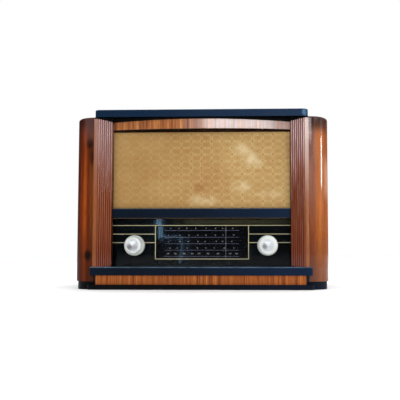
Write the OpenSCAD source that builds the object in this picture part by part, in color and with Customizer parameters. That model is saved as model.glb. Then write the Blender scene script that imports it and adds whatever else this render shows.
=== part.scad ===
// Table radio receiver: a veneered cabinet with curved sides, reeded pilasters and a bowed top rail,
// a glass tuning scale with a cord-driven pointer, two double knobs, a loudspeaker and a valve chassis.
// Millimetres. The origin is the centre of the box round the whole set, on the surface that it stands on.
// The front faces -Y. Depths are measured back from the front edge of the top plate.

/* [Cabinet] */
// Width over the two side panels
cabinet_w = 530; // [500:1:600]
// Depth from the front edge of the top plate to the rear edges
cabinet_d = 240; // [230:1:300]
// Height from the table to the top of the top plate
cabinet_h = 370; // [360:1:420]
// Outer radius of the side panels' front corners, in plan
wing_r = 40; // [34:1:44]
// Thickness of the side panels
wing_t = 12; // [10:0.5:14]
// Depth of the side panels' front faces
wing_s = 8; // [7:0.5:12]
// Width of each side panel in front, outside its pilaster
wing_face_w = 44; // [44:0.5:54]
// Rounding along the top of the side panels
shoulder_r = 4; // [2:0.5:9.5]
// How far the side panels rise beside the top plate
wing_rise = 2; // [0:0.5:4]
// Thickness of the cabinet's top board
roof_t = 12; // [8:0.5:16]
// Thickness of the cabinet's floor board
floor_t = 12.5; // [8:0.5:16]

/* [Top plate] */
// Gap between the top plate and each side panel
plate_gap = 0.3; // [0.3:0.1:1]
// Thickness of the top plate
plate_t = 15; // [10:0.5:20]
// Rounding of the top plate's front corners, in plan
plate_r = 12; // [4:1:20]

/* [Base] */
// Height of the plinth
plinth_h = 16.5; // [14:0.5:24]
// Thickness of the plinth's strips
plinth_t = 16; // [10:1:20]
// How far the plinth stands in under the side panels
plinth_inset = 3; // [1:0.5:5]
// How far the plinth's front lip reaches past each pilaster
lip_over = 10; // [2:0.5:16]
// Height of the lip
lip_h = 10; // [6:0.5:13]
// How far the lip stands out before the top plate
lip_out = 1; // [0:0.5:4]
// How far the veneered rail above the lip stops short of each pilaster's outer edge
low_rail_short = 6.5; // [0:0.5:16]
// Depth of the veneered rail's face
low_rail_s = 4; // [3:0.5:7]

/* [Shelf] */
// How far the shelf under the scale reaches past each pilaster
shelf_over = 7; // [3:0.5:12]
// Thickness of the shelf
shelf_t = 17.5; // [14:0.5:20]
// Depth of the shelf's nose
shelf_s = 2; // [0:0.5:4]
// Rounding of the nose's upper edge
nose_r = 4; // [1:0.5:5]

/* [Pilasters] */
// Width of one pilaster
pilaster_w = 36; // [32:1:42]
// Width of its flat outer band
band_w = 8; // [5:0.5:11]
// Depth of the flat band
band_s = 3; // [1:0.5:5]
// How much further back the inner edge lies
splay = 8; // [4:0.5:11]
// Number of reeds
reed_n = 7; // [5:1:9]
// How far the reeds stand out of their grooves
reed_out = 1.3; // [0.6:0.1:1.6]

/* [Grille] */
// Depth of the loudspeaker board's front face
baffle_s = 24; // [22:0.5:28]
// Thickness of the loudspeaker board
baffle_t = 10; // [8:0.5:10]
// Thickness of the grille cloth
cloth_t = 0.9; // [0.5:0.1:1.5]
// Height of the bowed top rail
top_rail_h = 24; // [18:0.5:30]
// Depth of the bowed rail's middle
bow_mid_s = 4.5; // [3:0.5:8]
// Depth of the bowed rail's ends
bow_end_s = 19; // [14:0.5:20]
// Height of the dark rail between cloth and scale
mid_rail_h = 19.5; // [14:0.5:24]
// Depth of the dark rail's face
mid_rail_s = 17; // [12:0.5:20]

/* [Scale] */
// Clear height of the scale opening
dial_h = 100.5; // [96:0.5:110]
// Depth of the glass's front face
glass_s = 35; // [35:0.5:36]
// Thickness of the glass
glass_t = 3; // [2:0.5:4]
// Depth of the scale plate behind the glass
scale_s = 50; // [49:0.5:51]
// Thickness of the scale plate
scale_t = 1.2; // [1:0.1:2]
// Length of the pointer's travel
pointer_travel = 150; // [120:1:160]
// Where the pointer rests, right of the middle
pointer_x = 50; // [0:1:55]

/* [Knobs] */
// Distance from the middle to each pair of knobs
knob_x = 137; // [132:1:142]
// Height of the knobs' axis over the shelf
knob_rise = 43.5; // [42:0.5:46]
// How far the knobs stand out before the top plate
knob_out = 7; // [4:0.5:12]
// Diameter of the front knob on the left
volume_d = 33.5; // [30:0.5:38]
// Diameter of the front knob on the right
band_d = 37.5; // [30:0.5:39]
// Diameter of the ring knobs behind them
ring_d = 42; // [40:0.5:44]
// Diameter of the spun metal insert
insert_d = 23; // [18:0.5:26]
// Diameter of the inner shafts
shaft_d = 6; // [5:0.5:6]
// Diameter of the outer shafts
sleeve_d = 9; // [8.5:0.5:10]
// Running clearance of every shaft, all round
run = 0.08; // [0.05:0.01:0.1]

/* [Tuning drive] */
// Radius at which the cord runs on the tuning spindle
spindle_r = 5.5; // [5.5:0.1:6]
// Radius at which the cord runs on its pulleys
pulley_r = 6; // [5:0.5:7]
// Diameter of the drive cord
cord_d = 0.8; // [0.6:0.1:1]
// Number of moving vanes in the tuning capacitor
vane_n = 9; // [5:1:11]
// Radius of the moving vanes
vane_r = 19; // [14:1:19]
// Thickness of a vane
vane_t = 0.8; // [0.6:0.1:1]
// Distance from one moving vane to the next
vane_pitch = 3.4; // [3.2:0.1:4]

/* [Chassis] */
// Gap between the chassis and each side panel
chassis_side = 53; // [44:1:56]
// Depth at which the chassis starts
chassis_s = 74; // [73:1:76]
// Gap between the chassis and the rear cover
chassis_rear = 14; // [12:1:24]
// Height of the chassis
chassis_h = 75; // [72:1:80]
// Thickness of its steel sheet
sheet_t = 1.5; // [1:0.1:2]
// Height of the rubber washers under it
washer_h = 4; // [2:0.5:6]

/* [Loudspeaker] */
// Gap between the loudspeaker's rim and the top board
speaker_gap = 11.75; // [8:0.25:20]
// Where its axis lies, left of the middle
speaker_x = 60; // [55:1:65]
// Width of the loudspeaker's rim on the board, round the hole
speaker_rim = 9.5; // [8:0.5:12]
// Depth of the loudspeaker's frame
basket_l = 42; // [36:1:50]
// Diameter of its magnet
magnet_d = 70; // [60:1:80]
// Length of its magnet
magnet_l = 28; // [20:1:34]

/* [Rear cover] */
// Thickness of the pressed board
cover_t = 3; // [2:0.5:4]
// How far the cover's inner face lies inside the cabinet's rear edges
cover_in = 6; // [5:0.5:10]
// Number of air slots in a row
slot_n = 15; // [9:1:19]
// Number of rows
slot_rows = 4; // [3:1:5]
// Width of a slot
slot_w = 6; // [4:0.5:8]
// Length of a slot
slot_l = 34; // [24:1:38]

/* [Hidden] */
$fn = 64;

// Glue line between wooden pieces that meet on a curve
glue = 0.1;
// Clearance between pieces that only lie beside each other
clear = 0.3;

half_w = cabinet_w / 2;
post_x1 = half_w - wing_face_w;
post_x0 = post_x1 - pilaster_w;
plate_w = 2 * (post_x1 - plate_gap);
lip_w = 2 * (post_x1 + lip_over);
low_rail_w = 2 * (post_x1 - low_rail_short);
shelf_w = 2 * (post_x1 + shelf_over);
front_y = knob_out - (knob_out + cabinet_d) / 2;
roof_z = cabinet_h - plate_t;
shelf_z = plinth_h + floor_t;
shelf_top = shelf_z + shelf_t;
dial_top = shelf_top + dial_h;
cloth_z0 = dial_top + mid_rail_h;
cloth_z1 = roof_z - top_rail_h;
knob_z = shelf_top + knob_rise;
panel_l = cabinet_d - wing_s - wing_r;
inner_w = half_w - wing_t;
cover_s = cabinet_d - cover_in;

// Two-knob stack, depths of its faces
ring_s = 9;
ring_rim = 11;
ring_l = 23;
front_rim = 7;
front_l = 15;

// Tuning drive
cord_r = cord_d / 2;
cord_s = scale_s + 6;
cord_z = dial_top + 3;
pulley_z = cord_z - pulley_r;
pulley_xl = -pointer_travel / 2 - 37;
pulley_xr = knob_x + 15;
pulley_w = 3;
pulley_pin_r = 1.5;
rod_r = 1.5;
rod_z = dial_top - 6;
rod_x = pointer_travel / 2 + 25;
drum_r = pointer_travel / PI;
drum_w = 5;
drum_s = cord_s + 5;
drum_x = 60;
chassis_w = 2 * (inner_w - chassis_side);
rear_s = cover_s - chassis_rear;
chassis_l = rear_s - chassis_s;
chassis_z = shelf_z + washer_h;
chassis_top = chassis_z + chassis_h;
drum_z = chassis_top + 26;
drum_turn = pointer_x / drum_r * 180 / PI;

// Scale lamps
lamp_r = 5;
lamp_l = 16;
lamp_x = post_x0 + 4;
lamp_z = dial_top - 26;

// Tuning capacitor
frame_s = chassis_s + 10;
frame_w = 50;
frame_t = 2;
hub_r = 5;
vane_in = 10;
vane_run = (vane_n - 1) * vane_pitch;
frame_l = vane_run + 2 * vane_in;

// Wave-change switch
wafer_n = 3;
wafer_pitch = 14;
wafer_hole_r = 8;
wafer_t = 1.6;
switch_s = chassis_s + sheet_t;
bush_r = sleeve_d / 2 + 2;
bush_out = 8;
nut_t = 3;

// Loudspeaker
speaker_z = (cloth_z0 + cloth_z1) / 2;
speaker_s = baffle_s + baffle_t;
speaker_d = 2 * (roof_z - roof_t - speaker_gap - speaker_z);
speaker_hole_d = speaker_d - 2 * speaker_rim;
cone_r = speaker_d / 2 - 12;
coil_r = 14;
speaker_screw_r = 1.7;
speaker_screw_ring = speaker_d / 2 - 4.5;
speaker_screw_l = 6;
flange_t = 3;

// Chassis furniture: places across from the middle, and from the chassis's front or rear edge
socket_r = 11;
valve_r = 11;
valve_h = 50;
rectifier_r = 15;
rectifier_h = 78;
can_w = 34;
can_h = 58;
valve_spots = [[-36, rear_s - 30], [60, rear_s - 28], [150, rear_s - 30], [118, chassis_s + 44]];
rectifier_spot = [-76, rear_s - 32];
coil_spots = [[14, rear_s - 34], [106, rear_s - 34]];
smoothing_spot = [-90, chassis_s + 58];
smoothing_r = 17;
smoothing_neck_r = 14.5;
smoothing_h = 72;
mains_size = [78, 42, 66];
mains_spot = [50 - chassis_w / 2, rear_s - 38];
output_size = [48, 26, 40];
output_spot = [50 - chassis_w / 2, chassis_s + 25];
strip_x = 105;
strip_z = chassis_z + 30;
strip_w = 44;
strip_h = 22;
socket_pitch = 19;
lead_x = 50 - chassis_w / 2;
lead_z = chassis_z + 30;
grommet_r = 5.8;
batten_w = 12;
batten_l = 14;
window_w = strip_w + 4;
window_h = strip_h + 8;
screw_zs = [shelf_z + 14, speaker_z - 40, roof_z - roof_t - 14];
cover_screw_r = 1.6;
foot_w = 18;
bolt_x = (chassis_w - foot_w) / 2;
bolt_ss = [chassis_s + 20, rear_s - 20];
bolt_r = 2.5;
bolt_hole_r = bolt_r + 0.2;
bolt_head_h = 3.5;

// Places a plan, drawn as width by depth, at a height
module plan(z, h) {
    translate([0, front_y, z])
        linear_extrude(height = h)
            children();
}

// Stands an elevation, drawn as width by height, at a depth
module elevation(s, t) {
    translate([0, front_y + s + t, 0])
        rotate([90, 0, 0])
            linear_extrude(height = t)
                children();
}

// Puts a turned piece on an axis that runs from front to rear
module axial(x, s, z) {
    translate([x, front_y + s, z])
        rotate([-90, 0, 0])
            children();
}

module both_sides() {
    for (side = [-1, 1])
        scale([side, 1, 1])
            children();
}

module disc(r, h, bore = 0) {
    difference() {
        cylinder(r = r, h = h);
        if (bore > 0)
            translate([0, 0, -1])
                cylinder(r = bore, h = h + 2);
    }
}

// Outline of the cabinet in plan, with its rounded front corners
module cabinet_plan(inset) {
    hw = half_w - inset;
    r = wing_r - inset;
    s = wing_s + inset;
    translate([-(hw - r), s])
        square([2 * (hw - r), cabinet_d - s]);
    translate([-hw, s + r])
        square([2 * hw, cabinet_d - s - r]);
    for (side = [-1, 1])
        translate([side * (hw - r), s + r])
            circle(r);
}

// A bar in plan whose two front corners are rounded
module rounded_bar(w, s, l, r) {
    translate([-w / 2, s + r])
        square([w, l - r]);
    translate([-w / 2 + r, s])
        square([w - 2 * r, l]);
    for (side = [-1, 1])
        translate([side * (w / 2 - r), s + r])
            circle(r);
}

// Base

module plinth_front() {
    color([0.06, 0.07, 0.09]) {
        plan(0, plinth_h)
            difference() {
                intersection() {
                    cabinet_plan(plinth_inset);
                    translate([-half_w, 0])
                        square([cabinet_w, wing_s + wing_r]);
                }
                cabinet_plan(plinth_inset + plinth_t);
            }
        plan(0, lip_h)
            rounded_bar(lip_w, -lip_out, wing_s + plinth_inset + lip_out + plinth_t / 2, 8);
    }
}

module plinth_side() {
    color([0.06, 0.07, 0.09])
        plan(0, plinth_h)
            translate([half_w - plinth_inset - plinth_t, wing_s + wing_r])
                square([plinth_t, panel_l - plinth_inset]);
}

module plinth_rear() {
    w = half_w - plinth_inset - plinth_t;
    color([0.06, 0.07, 0.09])
        plan(0, plinth_h)
            translate([-w, cabinet_d - plinth_inset - plinth_t])
                square([2 * w, plinth_t]);
}

module cabinet_floor() {
    color([0.62, 0.50, 0.36])
        difference() {
            plan(plinth_h, floor_t) {
                cabinet_plan(wing_t + glue);
                translate([-post_x1 + glue, wing_s + plinth_inset])
                    square([2 * (post_x1 - glue), wing_r]);
            }
            for (x = [-bolt_x, bolt_x], s = bolt_ss)
                translate([x, front_y + s, plinth_h - 1])
                    cylinder(r = bolt_hole_r, h = floor_t + 2);
        }
}

module lower_rail() {
    color([0.62, 0.36, 0.17])
        plan(lip_h, shelf_z - lip_h)
            translate([-low_rail_w / 2, low_rail_s])
                square([low_rail_w, wing_s + plinth_inset - low_rail_s]);
}

// Section of the shelf's nose, from its ends' axis outwards
module nose_section(depth) {
    difference() {
        square([depth, shelf_t]);
        translate([depth - nose_r, shelf_t - nose_r])
            difference() {
                square(nose_r + 1);
                circle(nose_r);
            }
    }
}

module front_shelf() {
    depth = wing_s - shelf_s;
    end_x = shelf_w / 2 - depth;
    color([0.07, 0.09, 0.13]) {
        plan(shelf_z, shelf_t)
            translate([-post_x1 + glue, wing_s])
                square([2 * (post_x1 - glue), glass_s + glass_t + 2 - wing_s]);
        translate([end_x, front_y + wing_s, shelf_z])
            rotate([90, 0, -90])
                linear_extrude(height = 2 * end_x)
                    nose_section(depth);
        both_sides()
            translate([end_x, front_y + wing_s, shelf_z])
                rotate([0, 0, -90])
                    rotate_extrude(angle = 90)
                        nose_section(depth);
    }
}

// Carcass

// Section of a side panel, with its rounded shoulder
module panel_section() {
    h = roof_z - plinth_h + wing_rise;
    difference() {
        square([wing_t, h]);
        translate([wing_t - shoulder_r, h - shoulder_r])
            difference() {
                square(shoulder_r + 1);
                circle(shoulder_r);
            }
    }
}

module side_panel() {
    corner_x = half_w - wing_r;
    color([0.48, 0.20, 0.09]) {
        translate([inner_w, front_y + cabinet_d, plinth_h])
            rotate([90, 0, 0])
                linear_extrude(height = panel_l)
                    panel_section();
        translate([corner_x, front_y + wing_s + wing_r, plinth_h])
            rotate([0, 0, -90])
                rotate_extrude(angle = 90)
                    translate([wing_r - wing_t, 0])
                        panel_section();
        translate([corner_x, front_y + wing_s + wing_t, plinth_h])
            rotate([90, 0, -90])
                linear_extrude(height = corner_x - post_x1)
                    panel_section();
    }
}

module cabinet_roof() {
    color([0.48, 0.22, 0.10])
        plan(roof_z - roof_t, roof_t)
            difference() {
                cabinet_plan(wing_t + glue);
                translate([-post_x1 - glue, 0])
                    square([2 * (post_x1 + glue), baffle_s]);
            }
}

module top_plate() {
    color([0.09, 0.13, 0.19])
        plan(roof_z, plate_t)
            rounded_bar(plate_w, 0, cabinet_d, plate_r);
}

// Front

// Plan of the right pilaster: flat band, splayed face, flat back
module pilaster_plan() {
    face_s = band_s + reed_out;
    polygon([[post_x1, band_s], [post_x1 - band_w, band_s], [post_x1 - band_w, face_s],
        [post_x0, face_s + splay], [post_x0, baffle_s], [post_x1, baffle_s]]);
}

// Reeds side by side on the splayed face
module reeds(h) {
    pitch = (pilaster_w - band_w) / reed_n;
    reed_r = pitch / 2 + 0.25;
    for (i = [0 : reed_n - 1])
        translate([post_x1 - band_w - pitch * (i + 0.5),
            front_y + band_s + reed_r + splay * (i + 0.5) / reed_n, shelf_top])
            cylinder(r = reed_r, h = h, $fn = 32);
}

module pilaster() {
    h = roof_z - shelf_top;
    foot_r = 6;
    color([0.47, 0.22, 0.12])
        difference() {
            union() {
                plan(shelf_top, h)
                    pilaster_plan();
                reeds(h);
            }
            translate([post_x0 + foot_r, front_y + baffle_s + 1, shelf_top + foot_r])
                rotate([90, 0, 0])
                    linear_extrude(height = baffle_s + 2)
                        difference() {
                            translate([-foot_r - 1, -foot_r - 1])
                                square(foot_r + 1);
                            circle(foot_r);
                        }
        }
}

module top_rail() {
    rise = bow_end_s - bow_mid_s;
    facets = 720;
    bow_r = (post_x0 * post_x0 + rise * rise) / (2 * rise);
    color([0.60, 0.34, 0.17])
        plan(cloth_z1, top_rail_h)
            intersection() {
                translate([0, bow_mid_s + bow_r])
                    circle(bow_r, $fn = facets);
                translate([-post_x0 + glue, 0])
                    square([2 * (post_x0 - glue), baffle_s]);
            }
}

module mid_rail() {
    color([0.07, 0.09, 0.13])
        plan(dial_top, mid_rail_h)
            translate([-post_x0 + glue, mid_rail_s])
                square([2 * (post_x0 - glue), baffle_s - mid_rail_s]);
}

module dial_cheeks() {
    set_in = 4;
    color([0.08, 0.07, 0.07])
        both_sides()
            plan(shelf_top, dial_h)
                translate([post_x0 + set_in, baffle_s])
                    square([pilaster_w - set_in, glass_s - baffle_s]);
}

module baffle_board() {
    color([0.66, 0.55, 0.40])
        difference() {
            elevation(baffle_s, baffle_t)
                difference() {
                    translate([-post_x1 + glue, dial_top])
                        square([2 * (post_x1 - glue), roof_z - roof_t - dial_top]);
                    translate([-speaker_x, speaker_z])
                        circle(speaker_hole_d / 2);
                }
            speaker_screw_places(speaker_s - speaker_screw_l - clear)
                cylinder(r = speaker_screw_r + glue / 2, h = speaker_screw_l + clear + 1);
        }
}

module grille_cloth() {
    color([0.70, 0.56, 0.34])
        elevation(baffle_s - cloth_t, cloth_t)
            translate([-post_x0 + clear, cloth_z0 + clear])
                square([2 * (post_x0 - clear), cloth_z1 - cloth_z0 - 2 * clear]);
}

// Scale

module dial_glass() {
    edge = 10;
    color([0.10, 0.11, 0.12, 0.8])
        elevation(glass_s, glass_t)
            difference() {
                translate([-post_x0 - edge, shelf_top])
                    square([2 * (post_x0 + edge), dial_h - clear]);
                for (x = [-knob_x, knob_x])
                    translate([x, knob_z])
                        circle(sleeve_d / 2 + 2);
            }
}

// Post that carries a pulley, with its retaining head
module pulley_post(x) {
    axial(x, scale_s, pulley_z) {
        cylinder(r = pulley_pin_r, h = cord_s - scale_s + pulley_w);
        cylinder(r = 3, h = cord_s - scale_s - pulley_w / 2 - clear);
        translate([0, 0, cord_s - scale_s + pulley_w / 2 + clear])
            cylinder(r = 2.5, h = 1.2);
    }
}

module scale_plate() {
    w = chassis_w / 2;
    wing = chassis_s - scale_s;
    lug_t = 3;
    color([0.12, 0.12, 0.13]) {
        elevation(scale_s, scale_t)
            difference() {
                translate([-w, shelf_top + 2])
                    square([2 * w, dial_h - 4]);
                for (x = [-knob_x, knob_x])
                    translate([x, knob_z])
                        circle(sleeve_d / 2 + 2);
                for (x = [-lamp_x, lamp_x])
                    translate([x, lamp_z])
                        circle(lamp_r + glue);
            }
        for (x = [-w, w - scale_t])
            translate([x, front_y + scale_s, shelf_top + 2])
                cube([scale_t, wing, chassis_top - shelf_top - 8]);
        for (x = [-rod_x, rod_x - lug_t])
            difference() {
                translate([x, front_y + scale_s, rod_z - 4])
                    cube([lug_t, cord_s - scale_s + 4, 7]);
                translate([x - 1, front_y + cord_s, rod_z])
                    rotate([0, 90, 0])
                        cylinder(r = rod_r, h = lug_t + 2);
            }
        pulley_post(pulley_xl);
        pulley_post(pulley_xr);
    }
}

module pointer_rail() {
    color([0.75, 0.75, 0.76])
        translate([-rod_x, front_y + cord_s, rod_z])
            rotate([0, 90, 0])
                cylinder(r = rod_r - 0.02, h = 2 * rod_x);
}

module pointer() {
    w = 12;
    needle_s = glass_s + glass_t + 5;
    arm_z = cord_z + 3;
    color([0.92, 0.88, 0.78])
        translate([pointer_x, front_y, 0]) {
            difference() {
                translate([-w / 2, cord_s - 3.5, rod_z - 4])
                    cube([w, 7, arm_z - rod_z + 5]);
                translate([-w, cord_s, rod_z])
                    rotate([0, 90, 0])
                        cylinder(r = rod_r + run, h = 2 * w);
                translate([-w, cord_s, cord_z])
                    rotate([0, 90, 0])
                        cylinder(r = cord_r + 0.5, h = 2 * w);
            }
            translate([-1.5, needle_s, arm_z])
                cube([3, cord_s - needle_s, 1]);
            translate([-0.6, needle_s, shelf_top + 12])
                cube([1.2, 0.8, arm_z + 1 - shelf_top - 12]);
        }
}

// Grooved pulley, centred on its own plane
module pulley() {
    groove = pulley_r - cord_r - 0.2;
    color([0.85, 0.82, 0.74])
        rotate_extrude()
            polygon([[pulley_pin_r + run, -pulley_w / 2], [pulley_r + 2, -pulley_w / 2],
                [groove, -cord_r], [groove, cord_r], [pulley_r + 2, pulley_w / 2],
                [pulley_pin_r + run, pulley_w / 2]]);
}

// Cord route, as width, depth and height

// Points on an arc round an axis that runs from front to rear, clockwise from the front
function arc(c, r, a0, a1, s0, s1, n) =
    [for (i = [0 : n])
        let (a = a0 + (a1 - a0) * i / n)
        [c[0] + r * cos(a), s0 + (s1 - s0) * i / n, c[1] + r * sin(a)]];

// Direction, from the axis, in which a straight cord leaves two wheels that turn the same way
function tangent(c0, r0, c1, r1) =
    atan2(c1[1] - c0[1], c1[0] - c0[0]) + acos((r0 - r1) / norm(c1 - c0));

drum_c = [drum_x, drum_z];
left_c = [pulley_xl, pulley_z];
right_c = [pulley_xr, pulley_z];
spindle_c = [knob_x, knob_z];
drum_cord_s = drum_s + drum_w / 2;
lay = cord_d + 0.2;
leave_left = tangent(drum_c, drum_r, left_c, pulley_r) - 360;
leave_right = tangent(right_c, pulley_r, spindle_c, spindle_r);
leave_spindle = tangent(spindle_c, spindle_r, drum_c, drum_r) - 720;

cord_route = concat(
    arc(drum_c, drum_r, leave_left + 150, leave_left, drum_cord_s - lay / 2, drum_cord_s - lay / 2, 14),
    arc(left_c, pulley_r, leave_left, -270, cord_s, cord_s, 6),
    arc(right_c, pulley_r, 90, leave_right, cord_s, cord_s, 4),
    arc(spindle_c, spindle_r, leave_right, leave_spindle, cord_s - lay, cord_s + lay, 24),
    arc(drum_c, drum_r, leave_spindle, leave_spindle - 60, drum_cord_s + lay / 2,
        drum_cord_s + lay / 2, 8));

cord_sides = 8;

// One ring of the cord, square to the route at its point
function cord_ring(p, i) =
    let (last = len(p) - 1,
        a = p[max(i - 1, 0)],
        b = p[min(i + 1, last)],
        t = (b - a) / norm(b - a),
        u = [0, 1, 0] - t * t[1],
        un = u / norm(u),
        v = cross(t, un))
    [for (k = [0 : cord_sides - 1])
        let (w = 360 * k / cord_sides)
        p[i] + cord_r * (un * cos(w) + v * sin(w))];

module drive_cord() {
    route = [for (p = cord_route) [p[0], front_y + p[1], p[2]]];
    n = len(route);
    m = cord_sides;
    points = [for (i = [0 : n - 1]) each cord_ring(route, i)];
    walls = [for (i = [0 : n - 2], k = [0 : m - 1], half = [0, 1])
        let (a = i * m + k, b = i * m + (k + 1) % m)
        half == 0 ? [a, a + m, b + m] : [a, b + m, b]];
    ends = [[for (k = [0 : m - 1]) k], [for (k = [0 : m - 1]) n * m - 1 - k]];
    color([0.55, 0.50, 0.40])
        polyhedron(points = points, faces = concat(walls, ends));
}

// Lamp bulb in its holder, pressed into the scale plate at each end of the scale
module dial_lamps() {
    bulb_s = scale_s - 5;
    bulb_r = lamp_r - 0.5;
    for (x = [-lamp_x, lamp_x]) {
        color([0.80, 0.70, 0.40])
            axial(x, scale_s - 2, lamp_z)
                cylinder(r = lamp_r, h = lamp_l);
        color([0.95, 0.93, 0.85])
            axial(x, bulb_s, lamp_z) {
                sphere(r = bulb_r);
                cylinder(r = bulb_r, h = 4);
            }
    }
}

// Knobs and their shafts

// Section of a front knob: round rim, dish for the insert, waist to the rear
module front_knob_section(r) {
    dish = 2;
    difference() {
        union() {
            translate([r - front_rim / 2, front_rim / 2])
                circle(front_rim / 2);
            square([r - front_rim / 2, front_rim]);
            polygon([[0, front_rim - 1], [r - 3, front_rim - 1], [r * 0.72, front_l], [0, front_l]]);
        }
        square([insert_d / 2, dish]);
        translate([0, dish + 2])
            square([shaft_d / 2 + 0.02, front_l]);
        translate([-r, -r])
            square([r, 3 * r]);
    }
}

module front_knob(x, d) {
    color([0.93, 0.91, 0.84])
        axial(x, -knob_out, knob_z)
            rotate_extrude()
                front_knob_section(d / 2);
}

// Spun metal disc, a shallow cone inside the knob's rim
module knob_insert(x) {
    r = insert_d / 2 - 0.05;
    color([0.78, 0.78, 0.78])
        axial(x, -knob_out, knob_z)
            rotate_extrude()
                polygon([[0, 1.5], [r - 1.2, 0.1], [r, 0.1], [r, 2], [0, 2]]);
}

module ring_knob(x) {
    r = ring_d / 2;
    edge = 2.5;
    bore = sleeve_d / 2 + 0.02;
    waist = r * 0.66;
    foot_t = 3;
    color([0.80, 0.79, 0.74])
        axial(x, ring_s, knob_z)
            rotate_extrude()
                difference() {
                    union() {
                        translate([bore, 0])
                            square([r - edge - bore, ring_rim]);
                        translate([bore, edge])
                            square([r - bore, ring_rim - 2 * edge]);
                        for (z = [edge, ring_rim - edge])
                            translate([r - edge, z])
                                circle(edge);
                        polygon([[bore, ring_rim - 1], [r - 4, ring_rim - 1], [waist, ring_l], [bore, ring_l]]);
                    }
                    translate([bore + foot_t, ring_rim + 4])
                        square([waist - bore - 2 * foot_t, ring_l]);
                }
}

module inner_shaft(x, end_s) {
    start = 4.1 - knob_out;
    axial(x, start, knob_z)
        cylinder(r = shaft_d / 2, h = end_s - start);
}

module volume_shaft() {
    color([0.72, 0.72, 0.70])
        inner_shaft(-knob_x, chassis_s + 20);
}

module tone_sleeve() {
    color([0.72, 0.72, 0.70])
        axial(-knob_x, ring_s + 1, knob_z)
            disc(sleeve_d / 2, chassis_s + 10 - ring_s - 1, shaft_d / 2 + run);
}

// Double control: bush and nut through the chassis, can behind it
module volume_control() {
    can_r = 14;
    can_l = 24;
    color([0.60, 0.58, 0.52])
        difference() {
            union() {
                control_bush(-knob_x);
                axial(-knob_x, switch_s, knob_z)
                    cylinder(r = can_r, h = can_l);
            }
            axial(-knob_x, chassis_s - bush_out - 1, knob_z)
                cylinder(r = sleeve_d / 2 + run, h = bush_out + 12);
            axial(-knob_x, chassis_s - bush_out - 1, knob_z)
                cylinder(r = shaft_d / 2 + run, h = bush_out + 23);
        }
}

// Threaded bush through the chassis, with its nut in front
module control_bush(x) {
    axial(x, chassis_s - bush_out, knob_z)
        cylinder(r = bush_r - clear, h = bush_out + 4);
    axial(x, chassis_s - nut_t, knob_z)
        cylinder(r = bush_r + 2, h = nut_t, $fn = 6);
}

module tuning_sleeve() {
    groove_l = 4 * cord_d + 2;
    flange = 1.2;
    color([0.72, 0.66, 0.46]) {
        axial(knob_x, ring_s + 1, knob_z)
            disc(sleeve_d / 2, chassis_s + 1 - ring_s - 1, shaft_d / 2 + run);
        axial(knob_x, cord_s - groove_l / 2, knob_z)
            disc(spindle_r - cord_r - 0.2, groove_l, shaft_d / 2 + run);
        for (s = [cord_s - groove_l / 2 - flange, cord_s + groove_l / 2])
            axial(knob_x, s, knob_z)
                disc(spindle_r + 2, flange, shaft_d / 2 + run);
    }
}

// Wave-change switch: bush, click plate and three contact wafers on two spacer rods
module band_switch() {
    rod_gap = 17;
    wafer_w = 42;
    wafer_h = 26;
    color([0.62, 0.42, 0.24])
        difference() {
            union() {
                control_bush(knob_x);
                elevation(switch_s, 2)
                    translate([knob_x, knob_z])
                        square([wafer_w, wafer_h - 2], center = true);
                for (i = [1 : wafer_n])
                    elevation(switch_s + i * wafer_pitch, wafer_t)
                        difference() {
                            translate([knob_x, knob_z - 4])
                                square([wafer_w, wafer_h], center = true);
                            translate([knob_x, knob_z])
                                circle(wafer_hole_r);
                        }
                for (dx = [-rod_gap, rod_gap])
                    axial(knob_x + dx, switch_s, knob_z)
                        cylinder(r = wafer_t, h = wafer_n * wafer_pitch + 4);
            }
            axial(knob_x, chassis_s - bush_out - 1, knob_z)
                cylinder(r = sleeve_d / 2 + run, h = bush_out + 2 + run);
            axial(knob_x, chassis_s - bush_out - 1, knob_z)
                cylinder(r = shaft_d / 2 + run, h = 40);
        }
}

// Shaft of the wave-change switch with a contact rotor for each wafer
module band_shaft() {
    color([0.72, 0.72, 0.70]) {
        inner_shaft(knob_x, switch_s + wafer_n * wafer_pitch + 6);
        for (i = [1 : wafer_n])
            axial(knob_x, switch_s + i * wafer_pitch, knob_z)
                cylinder(r = wafer_hole_r - run, h = wafer_t);
    }
}

// Tuning capacitor

// A vane's outline: half a disc with its hub end
module vane(r) {
    intersection() {
        circle(r);
        translate([-r, -hub_r / 2])
            square([2 * r, r + hub_r]);
    }
}

module capacitor_frame() {
    h = 2 * (drum_z - chassis_top);
    stator_r = vane_r + 3;
    first = frame_s + vane_in + vane_pitch / 2;
    bar_x = frame_w / 2 - 3;
    bar_w = 2;
    color([0.70, 0.71, 0.72]) {
        for (s = [frame_s, frame_s + frame_l - frame_t])
            difference() {
                elevation(s, frame_t)
                    translate([drum_x - frame_w / 2, chassis_top])
                        square([frame_w, h - 4]);
                axial(drum_x, s - 1, drum_z)
                    cylinder(r = shaft_d / 2 + run, h = frame_t + 2);
            }
        translate([drum_x - frame_w / 2, front_y + frame_s, chassis_top])
            cube([frame_w, frame_l, frame_t]);
        for (side = [-1, 1])
            translate([drum_x + side * bar_x - bar_w / 2, front_y + frame_s, drum_z - 10])
                cube([bar_w, frame_l, 4]);
        for (i = [0 : vane_n - 2])
            elevation(first + i * vane_pitch - vane_t / 2, vane_t)
                translate([drum_x, drum_z])
                    difference() {
                        intersection() {
                            union() {
                                circle(stator_r);
                                translate([-bar_x - bar_w / 2, -10])
                                    square([2 * bar_x + bar_w, 4]);
                            }
                            translate([-frame_w, -frame_w - hub_r - 1])
                                square([2 * frame_w, frame_w]);
                        }
                        circle(hub_r + 1.5);
                    }
    }
}

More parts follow.
